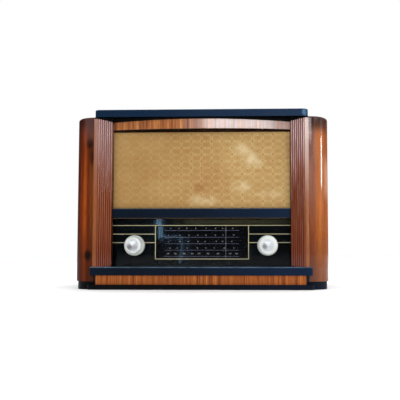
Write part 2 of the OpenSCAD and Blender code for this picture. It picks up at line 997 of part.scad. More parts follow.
// Rotor at the drum's rest angle: its vanes leave the fixed ones as the pointer moves right
module capacitor_rotor() {
    open_turn = (pointer_travel / 2 - pointer_x) / drum_r * 180 / PI;
    color([0.80, 0.80, 0.80])
        axial(drum_x, 0, drum_z) {
            translate([0, 0, drum_s])
                cylinder(r = shaft_d / 2, h = frame_s + frame_l + 2 - drum_s);
            translate([0, 0, frame_s + 8])
                cylinder(r = hub_r, h = vane_run + 4);
            for (i = [0 : vane_n - 1])
                translate([0, 0, frame_s + vane_in + i * vane_pitch - vane_t / 2])
                    rotate([0, 0, 180 - open_turn])
                        linear_extrude(height = vane_t)
                            vane(vane_r);
        }
}

// Cord drum: grooved rim on a pierced web and a hub
module drive_drum() {
    groove_w = 2 * cord_d + 1.8;
    groove_r = drum_r - cord_r - 0.2;
    rim_r = drum_r + 1.2;
    wall = (drum_w - groove_w) / 2;
    web_t = 1.6;
    hole_r = 12;
    color([0.74, 0.74, 0.72])
        axial(drum_x, drum_s, drum_z) {
            rotate_extrude()
                polygon([[groove_r - 4, 0], [rim_r, 0], [rim_r, wall], [groove_r, wall],
                    [groove_r, drum_w - wall], [rim_r, drum_w - wall], [rim_r, drum_w],
                    [groove_r - 4, drum_w]]);
            difference() {
                cylinder(r = groove_r - 3, h = web_t);
                for (a = [0 : 90 : 270])
                    rotate([0, 0, a + 45])
                        translate([groove_r * 0.55, 0, -1])
                            cylinder(r = hole_r, h = web_t + 2);
                translate([0, 0, -1])
                    cylinder(r = shaft_d / 2 + 0.02, h = web_t + 2);
            }
            disc(7, drum_w + 3, shaft_d / 2 + 0.02);
        }
}

// Chassis

module socket_hole(spot, r) {
    translate([spot[0], front_y + spot[1], chassis_top - 5])
        cylinder(r = r, h = 10);
}

module chassis() {
    w = chassis_w;
    color([0.66, 0.66, 0.62])
        difference() {
            union() {
                difference() {
                    translate([-w / 2, front_y + chassis_s, chassis_z])
                        cube([w, chassis_l, chassis_h]);
                    translate([-w / 2 + sheet_t, front_y + chassis_s + sheet_t, chassis_z - 1])
                        cube([w - 2 * sheet_t, chassis_l - 2 * sheet_t, chassis_h + 1 - sheet_t]);
                }
                for (x = [-bolt_x, bolt_x])
                    translate([x - foot_w / 2, front_y + chassis_s, chassis_z])
                        cube([foot_w, chassis_l, sheet_t]);
            }
            for (spot = concat(valve_spots, [rectifier_spot]))
                socket_hole(spot, socket_r);
            socket_hole(smoothing_spot, smoothing_neck_r + clear);
            for (x = [-knob_x, knob_x])
                axial(x, chassis_s - 1, knob_z)
                    cylinder(r = bush_r, h = 4);
            for (x = [-bolt_x, bolt_x], s = bolt_ss)
                translate([x, front_y + s, chassis_z - 1])
                    cylinder(r = bolt_hole_r, h = 4);
            axial(lead_x, rear_s - 4, lead_z)
                cylinder(r = grommet_r + clear / 2, h = 6);
            for (i = [-1, 1])
                axial(strip_x + i * socket_pitch / 2, rear_s - 4, strip_z)
                    cylinder(r = 5, h = 6);
        }
}

module chassis_washers() {
    color([0.10, 0.10, 0.10])
        for (x = [-bolt_x, bolt_x], s = bolt_ss)
            translate([x, front_y + s, shelf_z])
                disc(foot_w / 2, washer_h, bolt_hole_r);
}

module chassis_bolts() {
    color([0.70, 0.70, 0.68])
        for (x = [-bolt_x, bolt_x], s = bolt_ss)
            translate([x, front_y + s, plinth_h - bolt_head_h]) {
                cylinder(r = 2 * bolt_r, h = bolt_head_h, $fn = 6);
                cylinder(r = bolt_r, h = chassis_z + sheet_t + 5 - plinth_h + bolt_head_h);
            }
}

// Loudspeaker

// The four screws that hold the loudspeaker's rim to the board
module speaker_screw_places(s) {
    for (a = [45 : 90 : 315])
        axial(-speaker_x + speaker_screw_ring * cos(a), s, speaker_z + speaker_screw_ring * sin(a))
            children();
}

module speaker_basket() {
    r = speaker_d / 2;
    neck = magnet_d / 2 - 4;
    lip = 10;
    window_r = (r - lip - neck) / 2 - 7.75;
    color([0.25, 0.26, 0.28])
        difference() {
            axial(-speaker_x, speaker_s, speaker_z)
                difference() {
                    rotate_extrude()
                        polygon([[r - lip, 0], [r, 0], [r, flange_t], [r - lip + 2, flange_t],
                            [neck + 2, basket_l - 2], [neck + 2, basket_l], [coil_r + 4, basket_l],
                            [coil_r + 4, basket_l - 2], [neck, basket_l - 2], [r - lip, flange_t]]);
                    for (a = [0 : 60 : 300])
                        rotate([0, 0, a])
                            translate([(r + neck) / 2, 0, -1])
                                cylinder(r = window_r, h = basket_l - 2);
                }
            speaker_screw_places(speaker_s - 1)
                cylinder(r = speaker_screw_r + glue, h = flange_t + 2);
        }
}

module speaker_cone() {
    depth = basket_l - 10;
    t = 1;
    edge = cone_r + 2 - clear;
    color([0.22, 0.20, 0.18])
        axial(-speaker_x, speaker_s, speaker_z)
            rotate_extrude()
                polygon([[edge, 1], [edge, 2], [cone_r - 3, 2], [coil_r, depth],
                    [coil_r, basket_l + 4], [coil_r - t, basket_l + 4], [coil_r - t, depth - 2],
                    [0, depth - 6], [0, depth - 6 - t], [coil_r, depth - 3], [cone_r - 4, 1]]);
}

module speaker_magnet() {
    gap = 1;
    color([0.35, 0.36, 0.38])
        axial(-speaker_x, speaker_s + basket_l, speaker_z)
            difference() {
                cylinder(r = magnet_d / 2, h = magnet_l);
                translate([0, 0, -1])
                    disc(coil_r + gap, 8, coil_r - 1 - gap);
            }
}

module speaker_screws() {
    l = speaker_screw_l + flange_t;
    color([0.70, 0.70, 0.68])
        speaker_screw_places(speaker_s - speaker_screw_l) {
            cylinder(r = speaker_screw_r, h = l);
            translate([0, 0, l])
                cylinder(r = 2 * speaker_screw_r, h = 2);
        }
}

// Electrical parts on the chassis

// Transformer: laminated core lying flat, with its winding through the window
module transformer(spot, size) {
    w = size[0];
    l = size[1];
    h = size[2];
    leg = w / 6;
    translate([spot[0] - w / 2, front_y + spot[1] - l / 2, chassis_top]) {
        color([0.30, 0.30, 0.32])
            difference() {
                cube([w, l, h]);
                for (x = [leg, w - 2.5 * leg])
                    translate([x, -1, leg])
                        cube([1.5 * leg, l + 2, h - 2 * leg]);
            }
        color([0.80, 0.68, 0.44])
            difference() {
                translate([leg + 0.5, -leg, leg + 0.5])
                    cube([w - 2 * leg - 1, l + 2 * leg, h - 2 * leg - 1]);
                translate([2.5 * leg, 0, 0])
                    cube([w - 5 * leg, l, h]);
            }
    }
}

module mains_transformer() {
    transformer(mains_spot, mains_size);
}

module output_transformer() {
    transformer(output_spot, output_size);
}

module valve_sockets() {
    body_h = 8;
    rim_t = 2;
    color([0.85, 0.82, 0.74])
        for (spot = concat(valve_spots, [rectifier_spot]))
            translate([spot[0], front_y + spot[1], chassis_top + rim_t - body_h]) {
                cylinder(r = socket_r - clear, h = body_h);
                translate([0, 0, body_h - rim_t])
                    cylinder(r = socket_r + 3, h = rim_t);
            }
}

// Glass valve: bulb with a rounded shoulder and its exhaust pip
module valve(spot, r, h) {
    color([0.82, 0.86, 0.88, 0.6])
        translate([spot[0], front_y + spot[1], chassis_top + 2])
            rotate_extrude()
                intersection() {
                    union() {
                        square([r, h - r]);
                        translate([0, h - r])
                            circle(r);
                        translate([0, h - 2])
                            square([2, 6]);
                    }
                    square([r, h + 6]);
                }
}

module valves() {
    for (spot = valve_spots)
        valve(spot, valve_r, valve_h);
    valve(rectifier_spot, rectifier_r, rectifier_h);
}

module coil_cans() {
    corner = 5;
    color([0.78, 0.78, 0.79])
        for (spot = coil_spots)
            translate([spot[0], front_y + spot[1], chassis_top])
                linear_extrude(height = can_h) {
                    square([can_w - 2 * corner, can_w], center = true);
                    square([can_w, can_w - 2 * corner], center = true);
                    for (i = [-1, 1], j = [-1, 1])
                        translate([i * (can_w / 2 - corner), j * (can_w / 2 - corner)])
                            circle(corner);
                }
}

module smoothing_can() {
    neck_h = 8;
    color([0.76, 0.76, 0.77])
        translate([smoothing_spot[0], front_y + smoothing_spot[1], chassis_top - neck_h]) {
            cylinder(r = smoothing_neck_r, h = neck_h + 1);
            translate([0, 0, neck_h])
                cylinder(r = smoothing_r, h = smoothing_h);
        }
}

module socket_strip() {
    color([0.45, 0.27, 0.14])
        difference() {
            elevation(rear_s, 2)
                translate([strip_x - strip_w / 2, strip_z - strip_h / 2])
                    square([strip_w, strip_h]);
            for (i = [-1, 1])
                axial(strip_x + i * socket_pitch / 2, rear_s - 1, strip_z)
                    cylinder(r = 3.5, h = 4);
        }
}

module sockets() {
    color([0.80, 0.66, 0.36])
        for (i = [-1, 1])
            axial(strip_x + i * socket_pitch / 2, rear_s - 10, strip_z)
                difference() {
                    union() {
                        cylinder(r = 3.3, h = 13);
                        translate([0, 0, 12.3])
                            cylinder(r = 5, h = 1.5);
                    }
                    translate([0, 0, 1])
                        cylinder(r = 2.05, h = 14);
                }
}

module lead_grommet() {
    flange_r = grommet_r + 2.2;
    rim_t = 1.8;
    gap = sheet_t + 0.4;
    color([0.08, 0.08, 0.08])
        axial(lead_x, rear_s - sheet_t / 2 - gap / 2 - rim_t, lead_z)
            difference() {
                union() {
                    cylinder(r = grommet_r, h = gap + 2 * rim_t);
                    cylinder(r = flange_r, h = rim_t);
                    translate([0, 0, gap + rim_t])
                        cylinder(r = flange_r, h = rim_t);
                }
                translate([0, 0, -1])
                    cylinder(r = 3.6, h = gap + 2 * rim_t + 2);
            }
}

// Rear

module back_battens() {
    color([0.62, 0.50, 0.36])
        both_sides()
            translate([inner_w - batten_w, front_y + cover_s - batten_l, shelf_z])
                cube([batten_w, batten_l, roof_z - roof_t - shelf_z]);
}

// An upright slot with round ends
module slot() {
    square([slot_w, slot_l - slot_w], center = true);
    for (i = [-1, 1])
        translate([0, i * (slot_l - slot_w) / 2])
            circle(slot_w / 2, $fn = 24);
}

module rear_cover() {
    w = inner_w - 2;
    z0 = shelf_z + 2;
    z1 = roof_z - roof_t - 2;
    row_pitch = slot_l + 12;
    slot_pitch = 26;
    row_z = z1 - 24 - slot_l / 2;
    color([0.42, 0.29, 0.18])
        elevation(cover_s, cover_t)
            difference() {
                translate([-w, z0])
                    square([2 * w, z1 - z0]);
                for (j = [0 : slot_rows - 1], i = [0 : slot_n - 1])
                    translate([(i - (slot_n - 1) / 2) * slot_pitch, row_z - j * row_pitch])
                        slot();
                translate([strip_x - window_w / 2, strip_z - window_h / 2])
                    square([window_w, window_h]);
                translate([lead_x, lead_z])
                    circle(12);
                for (side = [-1, 1], z = screw_zs)
                    translate([side * (inner_w - batten_w / 2), z])
                        circle(cover_screw_r + clear);
            }
}

module cover_screws() {
    head_r = 3.6;
    head_h = 2;
    color([0.74, 0.72, 0.66])
        for (side = [-1, 1], z = screw_zs)
            axial(side * (inner_w - batten_w / 2), cover_s + cover_t, z)
                difference() {
                    union() {
                        cylinder(r1 = head_r, r2 = head_r - 1.2, h = head_h);
                        translate([0, 0, -cover_t])
                            cylinder(r = cover_screw_r, h = cover_t + 1);
                    }
                    translate([-head_r, -0.4, head_h - 0.8])
                        cube([2 * head_r, 0.8, 2]);
                }
}

plinth_front();
mirror([1, 0, 0]) plinth_side();  // plinth_side_left
plinth_side();  // plinth_side_right
plinth_rear();
cabinet_floor();
mirror([1, 0, 0]) side_panel();  // side_panel_left
side_panel();  // side_panel_right
cabinet_roof();
top_plate();
mirror([1, 0, 0]) pilaster();  // pilaster_left
pilaster();  // pilaster_right
top_rail();
mid_rail();
front_shelf();
lower_rail();
dial_cheeks();
baffle_board();
grille_cloth();
dial_glass();
scale_plate();
pointer_rail();
pointer();
axial(pulley_xl, cord_s, pulley_z) pulley();  // pulley_left
axial(pulley_xr, cord_s, pulley_z) pulley();  // pulley_right
drive_cord();
dial_lamps();
front_knob(-knob_x, volume_d);  // volume_knob
knob_insert(-knob_x);  // volume_insert
volume_shaft();
ring_knob(-knob_x);  // tone_ring
tone_sleeve();
volume_control();
front_knob(knob_x, band_d);  // band_knob
knob_insert(knob_x);  // band_insert
band_shaft();
ring_knob(knob_x);  // tuning_ring
tuning_sleeve();
band_switch();
capacitor_frame();
capacitor_rotor();
drive_drum();
chassis();
chassis_washers();
chassis_bolts();
speaker_basket();
speaker_cone();
speaker_magnet();
speaker_screws();
mains_transformer();
output_transformer();
valve_sockets();
valves();
coil_cans();
smoothing_can();
socket_strip();
sockets();
lead_grommet();
back_battens();
rear_cover();
cover_screws();
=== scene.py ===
# Table radio receiver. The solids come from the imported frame. This script gives them their finishes
# and adds the pieces that the source leaves to it: the woven cloth, a bead, the card behind the
# glass and the printing of the scale. It also lights them.
# Metres, in the frame's axes: the front faces -Y and the set stands on z = 0.

import math
import random

import bmesh
import bpy
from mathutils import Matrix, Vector, geometry


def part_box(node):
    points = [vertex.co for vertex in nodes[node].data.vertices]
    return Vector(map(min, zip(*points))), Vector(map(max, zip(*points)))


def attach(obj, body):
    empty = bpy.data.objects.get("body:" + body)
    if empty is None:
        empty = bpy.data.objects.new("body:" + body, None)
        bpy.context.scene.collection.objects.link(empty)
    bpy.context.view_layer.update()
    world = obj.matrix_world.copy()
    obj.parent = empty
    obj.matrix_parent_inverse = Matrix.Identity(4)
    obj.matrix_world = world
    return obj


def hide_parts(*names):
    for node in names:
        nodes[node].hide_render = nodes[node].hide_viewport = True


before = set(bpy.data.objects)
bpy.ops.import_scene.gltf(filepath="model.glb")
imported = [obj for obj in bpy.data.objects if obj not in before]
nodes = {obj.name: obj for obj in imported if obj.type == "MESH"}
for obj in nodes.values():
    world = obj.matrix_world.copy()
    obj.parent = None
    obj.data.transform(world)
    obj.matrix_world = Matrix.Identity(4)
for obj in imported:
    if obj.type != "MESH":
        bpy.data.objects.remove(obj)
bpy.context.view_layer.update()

MM = 0.001
FRONT_Y = -0.1165          # the top plate's front edge
PLATE_UNDER_Z = 0.355      # and its underside
KNOB_X = 0.137
KNOB_Z = 0.090
SPEAKER_X = -0.060
SPEAKER_Z = 0.24875
REEDS_END_X = 0.213        # where the pilasters' reeds end and their flat outer band starts
REED_PITCH = 0.004
# Rings woven in the grille cloth, in x and z: their pitch, half their width and height, and half
# the width of their line as a share of that
RING_PITCH = (0.0213, 0.0140)
RING_SIZE = (0.0094, 0.0088)
RING_LINE = 0.17


def depth(s):
    """The y of a depth that is measured, in millimetres, back from the top plate's front edge."""
    return FRONT_Y + s * MM


# Camera at the photograph's viewing angle; its shift puts the set where the photograph has it.

def make_camera():
    data = bpy.data.cameras.new("camera")
    data.sensor_width = 36.0
    data.lens = 48.44
    data.shift_x = -0.0875
    data.shift_y = 0.0584
    camera = bpy.data.objects.new("camera", data)
    camera.location = (0.1016, -1.2065, 0.0748)
    camera.rotation_euler = (math.radians(93.139), 0.0, math.radians(1.628))
    bpy.context.scene.collection.objects.link(camera)
    bpy.context.scene.camera = camera


make_camera()


# Node materials

def tone(r, g, b):
    """A colour given in display values from 0 to 255, made linear."""
    lin = [c / 255 / 12.92 if c <= 10 else ((c / 255 + 0.055) / 1.055) ** 2.4 for c in (r, g, b)]
    return (*lin, 1.0)


def fill_ramp(ramp, stops):
    """Sets a colour ramp to (place, colour) stops, given in order."""
    items = ramp.elements
    while len(items) < len(stops):
        items.new(0.5)
    for item, (place, _) in zip(items, stops):
        item.position = place
    for item, (_, colour) in zip(items, stops):
        item.color = colour


class Look:
    """One material: a Principled shader whose textures use the piece's coordinates, in metres."""

    def __init__(self, name, **sockets):
        self.mat = bpy.data.materials.new(name)
        self.mat.use_nodes = True
        self.nodes = self.mat.node_tree.nodes
        self.links = self.mat.node_tree.links
        self.shader = self.nodes["Principled BSDF"]
        self.place = self.add("ShaderNodeTexCoord").outputs["Object"]
        split = self.add("ShaderNodeSeparateXYZ", {"Vector": self.place})
        self.x, self.y, self.z = split.outputs
        self.normal = None
        self.set(**sockets)

    def add(self, kind, inputs=None, **props):
        node = self.nodes.new(kind)
        for key, value in props.items():
            setattr(node, key, value)
        for key, value in (inputs or {}).items():
            self.put(node.inputs[key], value)
        return node

    def put(self, socket, value):
        if isinstance(value, bpy.types.NodeSocket):
            self.links.new(value, socket)
        else:
            socket.default_value = value

    def set(self, **sockets):
        for key, value in sockets.items():
            self.put(self.shader.inputs[key.replace("_", " ")], value)

    def calc(self, op, a, b=0.0, clamp=False):
        return self.add("ShaderNodeMath", {0: a, 1: b}, operation=op, use_clamp=clamp).outputs[0]

    def plus(self, a, b):
        return self.calc("ADD", a, b)

    def minus(self, a, b):
        return self.calc("SUBTRACT", a, b)

    def times(self, a, *others):
        for b in others:
            a = self.calc("MULTIPLY", a, b)
        return a

    def apart(self, a, b):
        return self.calc("ABSOLUTE", self.minus(a, b))

    def length(self, a, b):
        return self.calc("SQRT", self.plus(self.times(a, a), self.times(b, b)))

    def vec(self, x, y, z):
        return self.add("ShaderNodeCombineXYZ", {0: x, 1: y, 2: z}).outputs[0]

    def noise(self, scale, detail=3.0, rough=0.55, twist=0.0, at=None):
        inputs = {"Vector": at or self.place, "Scale": scale, "Detail": detail,
                  "Roughness": rough, "Distortion": twist}
        return self.add("ShaderNodeTexNoise", inputs).outputs[0]

    def streaks(self, across, fine, along, coarse, seed, detail=2.0, rough=0.55):
        """Noise with a scale of its own, in cells per metre, in each of two directions."""
        place = self.vec(self.times(across, fine), self.times(along, coarse), seed)
        return self.noise(1.0, detail, rough, at=place)

    def sway(self, noise, amount):
        """A noise made to swing about 0."""
        return self.times(self.minus(noise, 0.5), amount)

    def ramp(self, fac, stops):
        """A colour ramp of (place, r, g, b) stops, in display values."""
        node = self.add("ShaderNodeValToRGB", {"Fac": fac})
        fill_ramp(node.color_ramp, [(place, tone(*rgb)) for place, *rgb in stops])
        return node.outputs[0]

    def step(self, value, low, high, out0=0.0, out1=1.0):
        inputs = {"Value": value, "From Min": low, "From Max": high, "To Min": out0, "To Max": out1}
        node = self.add("ShaderNodeMapRange", inputs, interpolation_type="SMOOTHSTEP")
        return node.outputs[0]

    def between(self, value, start, full, still, end):
        """0 outside start and end, 1 from full to still."""
        return self.times(self.step(value, start, full), self.step(value, end, still))

    def by_side(self, left=0.0, right=1.0):
        """One value on the set's left, another on its right."""
        return self.step(self.x, -0.1, 0.1, left, right)

    def mix(self, fac, a, b, blend="MIX"):
        node = self.add("ShaderNodeMix", data_type="RGBA", blend_type=blend)
        self.put(node.inputs[0], fac)
        self.put(node.inputs[6], a)
        self.put(node.inputs[7], b)
        return node.outputs[2]

    def fade(self, base, value, low, high, share, over):
        """A base painted over as the value goes from low to high, at most by the share."""
        return self.mix(self.step(value, low, high, 0.0, share), base, over)

    def facing(self, axis):
        """How far the surface faces an axis's positive end, from -1 to 1."""
        surface = self.add("ShaderNodeNewGeometry")
        split = self.add("ShaderNodeSeparateXYZ", {"Vector": surface.outputs["Normal"]})
        return split.outputs["XYZ".index(axis)]

    def away(self, x, z):
        """The distance from a line that runs straight back through x and z."""
        return self.length(self.minus(self.x, x), self.minus(self.z, z))

    def spot(self, x, z, rx, rz):
        """1 in the middle of a soft oval on the front, 0 outside it."""
        dx = self.times(self.minus(self.x, x), 1 / rx)
        dz = self.times(self.minus(self.z, z), 1 / rz)
        return self.step(self.length(dx, dz), 0.25, 1.0, 1.0, 0.0)

    def surface(self, colour, value, low, high, rough0, rough1):
        """Sets the colour, and a roughness that goes from rough0 to rough1 with the value."""
        self.set(Base_Color=colour, Roughness=self.step(value, low, high, rough0, rough1))

    def bump(self, height, strength, distance):
        inputs = {"Height": height, "Strength": strength, "Distance": distance}
        if self.normal is not None:
            inputs["Normal"] = self.normal
        self.normal = self.add("ShaderNodeBump", inputs).outputs[0]
        self.set(Normal=self.normal)


PORE_BROWN = (0.012, 0.004, 0.002, 1.0)


def wood_grain(look, across, along, stops, width, pore, fibre, seed):
    """Veneer colour: broad growth bands, fine fibres and short dark pores, all along one way."""
    drift = look.streaks(across, 9.0, along, 2.2, seed)
    line = look.plus(across, look.sway(drift, 0.016))
    colour = look.ramp(look.streaks(line, width, along, 1.3, seed + 3.0, 3.0, 0.62), stops)
    fine = look.streaks(line, 1500.0, along, 26.0, seed + 5.0)
    fine = look.step(fine, 0.25, 0.75, 1.0 - fibre, 1.0 + fibre * 0.6)
    colour = look.mix(1.0, colour, fine, "MULTIPLY")
    pores = look.streaks(line, 2600.0, along, 90.0, seed + 7.0, 1.0)
    pores = look.step(pores, 0.60, 0.72, 0.0, pore)
    return look.mix(pores, colour, PORE_BROWN), fine, pores


def varnish(look, fine, pores, rough, coat, painted_shade=None, coat_rough=0.07, gloss_level=0.14):
    """A thin old polish with sunk pores and rubbed patches, matte on the painted shade under the
    plate.
    """
    patch = look.noise(22.0, 4.0)
    gloss = look.step(patch, 0.3, 0.75, rough, rough + 0.16)
    if painted_shade is not None:
        gloss = look.plus(gloss, look.times(painted_shade, 0.6))
        coat = look.step(painted_shade, 0.0, 1.0, coat, 0.0)
    look.set(Roughness=gloss, Coat_Weight=coat, Coat_Roughness=coat_rough,
             Specular_IOR_Level=gloss_level)
    look.bump(pores, 0.25, 0.0003)
    look.bump(fine, 0.06, 0.0003)


def under_top(look, at_edge, slope):
    """1 in the wedge of painted black shade below the top plate; it is taller farther back."""
    reach = look.plus(look.times(look.minus(look.y, FRONT_Y), slope), at_edge)
    below = look.minus(PLATE_UNDER_Z, look.z)
    return look.step(look.minus(reach, below), -0.0008, 0.0008)


VENEER = [(0.22, 58, 22, 10), (0.38, 98, 42, 18), (0.50, 134, 62, 24), (0.62, 158, 80, 30),
          (0.78, 186, 104, 42)]
# The side panels' upright bands: shares of BANDS_REACH, from BANDS_FROM outwards along the panel
BANDS_FROM = 0.110
BANDS_REACH = 0.090
# The left's outer bands are darker than the right's, partly as painted shade of the side turned from
# the light
BANDS_LEFT = [(0.02, 148, 86, 46), (0.09, 98, 46, 20), (0.19, 96, 38, 12), (0.30, 178, 80, 22),
              (0.40, 120, 40, 6), (0.54, 66, 10, 1), (1.00, 60, 12, 2)]
BANDS_RIGHT = [(0.02, 126, 66, 44), (0.13, 132, 68, 42), (0.22, 172, 96, 44), (0.33, 184, 106, 38),
               (0.45, 176, 94, 30), (0.75, 192, 104, 32), (1.00, 144, 70, 27)]
# Two knots and a dark streak of the left panel: x, z, half width, half height, strength
KNOTS = ((-0.2300, 0.3017, 0.0120, 0.0160, 0.94), (-0.2326, 0.0695, 0.0120, 0.0160, 0.94),
         (-0.2262, 0.2760, 0.0075, 0.0290, 0.70))


def left_marks_and_painted_light(look, u, colour):
    """Knots, a painted pale sheen at the inner edge's top, and a darker upper half."""
    for x, z, rx, rz, strength in KNOTS:
        colour = look.mix(look.times(look.spot(x, z, rx, rz), strength), colour, tone(12, 8, 8))
    # Painted sheen of reflected light at the top of the inner edge
    sheen_patch = look.times(look.step(look.z, 0.290, 0.335), look.step(u, 0.152, 0.128, 0.0, 0.46))
    colour = look.mix(sheen_patch, colour, tone(128, 100, 96))
    return look.fade(colour, look.z, 0.200, 0.330, 0.40, tone(58, 14, 4))


def right_marks_and_painted_light(look, u, colour):
    """Painted veil and pale flecks by the pilaster, painted shade at the top, edges darker above,
    painted light below.
    """
    # Painted veil of reflected light by the pilaster
    painted_veil = look.times(look.between(look.z, 0.110, 0.250, 0.325, 0.345),
                      look.step(u, 0.146, 0.112, 0.0, 0.20))
    colour = look.mix(painted_veil, colour, tone(178, 162, 156))
    flecks = look.streaks(u, 500.0, look.z, 300.0, 1.0, 3.0)
    where = look.times(look.step(look.z, 0.245, 0.300), look.step(u, 0.140, 0.118))
    flecks = look.times(look.step(flecks, 0.56, 0.68, 0.0, 0.32), where)
    colour = look.mix(flecks, colour, tone(218, 204, 200))
    # Painted shade below the top plate
    colour = look.fade(colour, look.z, 0.316, 0.348, 0.85, tone(54, 24, 14))
    upper = look.step(look.z, 0.240, 0.280)
    for start, full, edge in ((0.155, 0.172, tone(104, 50, 24)), (0.128, 0.114, tone(64, 40, 34))):
        colour = look.mix(look.times(upper, look.step(u, start, full, 0.0, 0.45)), colour, edge)
    # Painted highlight by the outer edge, beside the window light's reflection
    pale = look.times(look.between(look.z, 0.170, 0.215, 0.245, 0.290),
                      look.step(u, 0.150, 0.168, 0.0, 0.34))
    return look.mix(pale, colour, tone(222, 184, 160))


def side_veneer(left):
    """The walnut of a side panel, with the bands and marks that the photograph shows on it."""
    look = Look("side_veneer_left" if left else "side_veneer_right")
    # The way outwards along the front, round the corner and back along the side
    u = look.plus(look.calc("ABSOLUTE", look.x), look.y)
    seed = 2.0 if left else 11.0
    colour, fine, pores = wood_grain(look, u, look.z, VENEER, 95.0, 0.35, 0.30, seed)
    wave = look.streaks(u, 4.0, look.z, 5.0, seed)
    place = look.plus(u, look.sway(wave, 0.006))
    span = look.calc("MULTIPLY", look.minus(place, BANDS_FROM), 1 / BANDS_REACH, clamp=True)
    tint = look.ramp(span, BANDS_LEFT if left else BANDS_RIGHT)
    front = look.step(u, 0.190, 0.235, 0.96 if left else 0.85, 0.0)
    # Less plain veneer in the left's outer bands deepens that painted shade
    share = look.step(span, 0.40, 0.70, 0.30, 0.12 if left else 0.30)
    banded = look.mix(1.0, look.mix(share, tint, colour), fine, "MULTIPLY")
    colour = look.mix(front, colour, banded)
    # Clouds along the grain, and darker towards the top and the foot
    cloud = look.streaks(u, 60.0, look.z, 9.0, seed + 4.0, 3.0)
    dark = tone(74, 24, 8) if left else tone(120, 56, 24)
    colour = look.fade(colour, cloud, 0.50, 0.72, 0.45, dark)
    # Painted shade below the top plate, along a wavy line
    uneven = look.plus(look.z, look.times(wave, 0.030))
    colour = look.fade(colour, uneven, 0.328, 0.366, 0.92, tone(34, 16, 11))
    colour = look.fade(colour, look.z, 0.170, 0.020, 0.70 if left else 0.55, tone(60, 18, 5))
    if left:
        look.set(Base_Color=left_marks_and_painted_light(look, u, colour))
        varnish(look, fine, pores, 0.30, 0.04, gloss_level=0.05)
    else:
        look.set(Base_Color=right_marks_and_painted_light(look, u, colour))
        varnish(look, fine, pores, 0.26, 0.45)
    return look.mat


def roof_veneer():
    """The side panels' walnut laid along the roof, darker from dust and old polish."""
    look = Look("roof_veneer")
    colour, fine, pores = wood_grain(look, look.y, look.x, VENEER, 95.0, 0.35, 0.30, 17.0)
    cloud = look.streaks(look.x, 9.0, look.y, 40.0, 6.0, 3.0)
    colour = look.mix(look.step(cloud, 0.35, 0.70, 0.25, 0.75), colour, tone(70, 26, 9))
    look.set(Base_Color=colour)
    varnish(look, fine, pores, 0.30, 0.20)
    return look.mat


RAIL_TOP = [(0.24, 92, 42, 26), (0.38, 140, 78, 44), (0.50, 172, 104, 60),
            (0.62, 196, 126, 70), (0.80, 222, 168, 106)]
RAIL_LOW = [(0.24, 80, 32, 12), (0.38, 132, 61, 20), (0.50, 168, 86, 30),
            (0.64, 194, 111, 42), (0.82, 216, 138, 60)]


def cross_veneer(name, stops, width, seed, rough, coat, under_plate=False):
    """Veneer laid across a rail: its grain stands upright and its bands follow each other in x."""
    look = Look(name)
    colour, fine, pores = wood_grain(look, look.x, look.z, stops, width, 0.30, 0.42, seed)
    streak = look.streaks(look.x, 420.0, look.z, 4.0, seed + 9.0)
    colour = look.fade(colour, streak, 0.56, 0.68, 0.62, tone(74, 26, 12))
    colour = look.fade(colour, streak, 0.44, 0.34, 0.40, tone(222, 146, 74))
    painted_shade = None
    if under_plate:
        # A painted veil of reflected light to the right, painted shade on the lower edge and
        # underside, and painted black shade right under the plate
        painted_shade = under_top(look, 0.0024, 0.30)
        painted_veil = look.times(look.step(look.x, -0.06, 0.05),
                          look.step(streak, 0.30, 0.60, 0.22, 0.46))
        colour = look.mix(painted_veil, colour, tone(204, 198, 200))
        colour = look.fade(colour, look.z, 0.3318, 0.3310, 1.0, tone(22, 9, 4))
        colour = look.mix(painted_shade, colour, tone(3, 1, 2))
    look.set(Base_Color=colour)
    varnish(look, fine, pores, rough, coat, painted_shade, 0.13)
    return look.mat


REEDS = [(0.20, 96, 40, 18), (0.45, 126, 58, 28), (0.60, 146, 72, 36), (0.80, 164, 88, 48)]


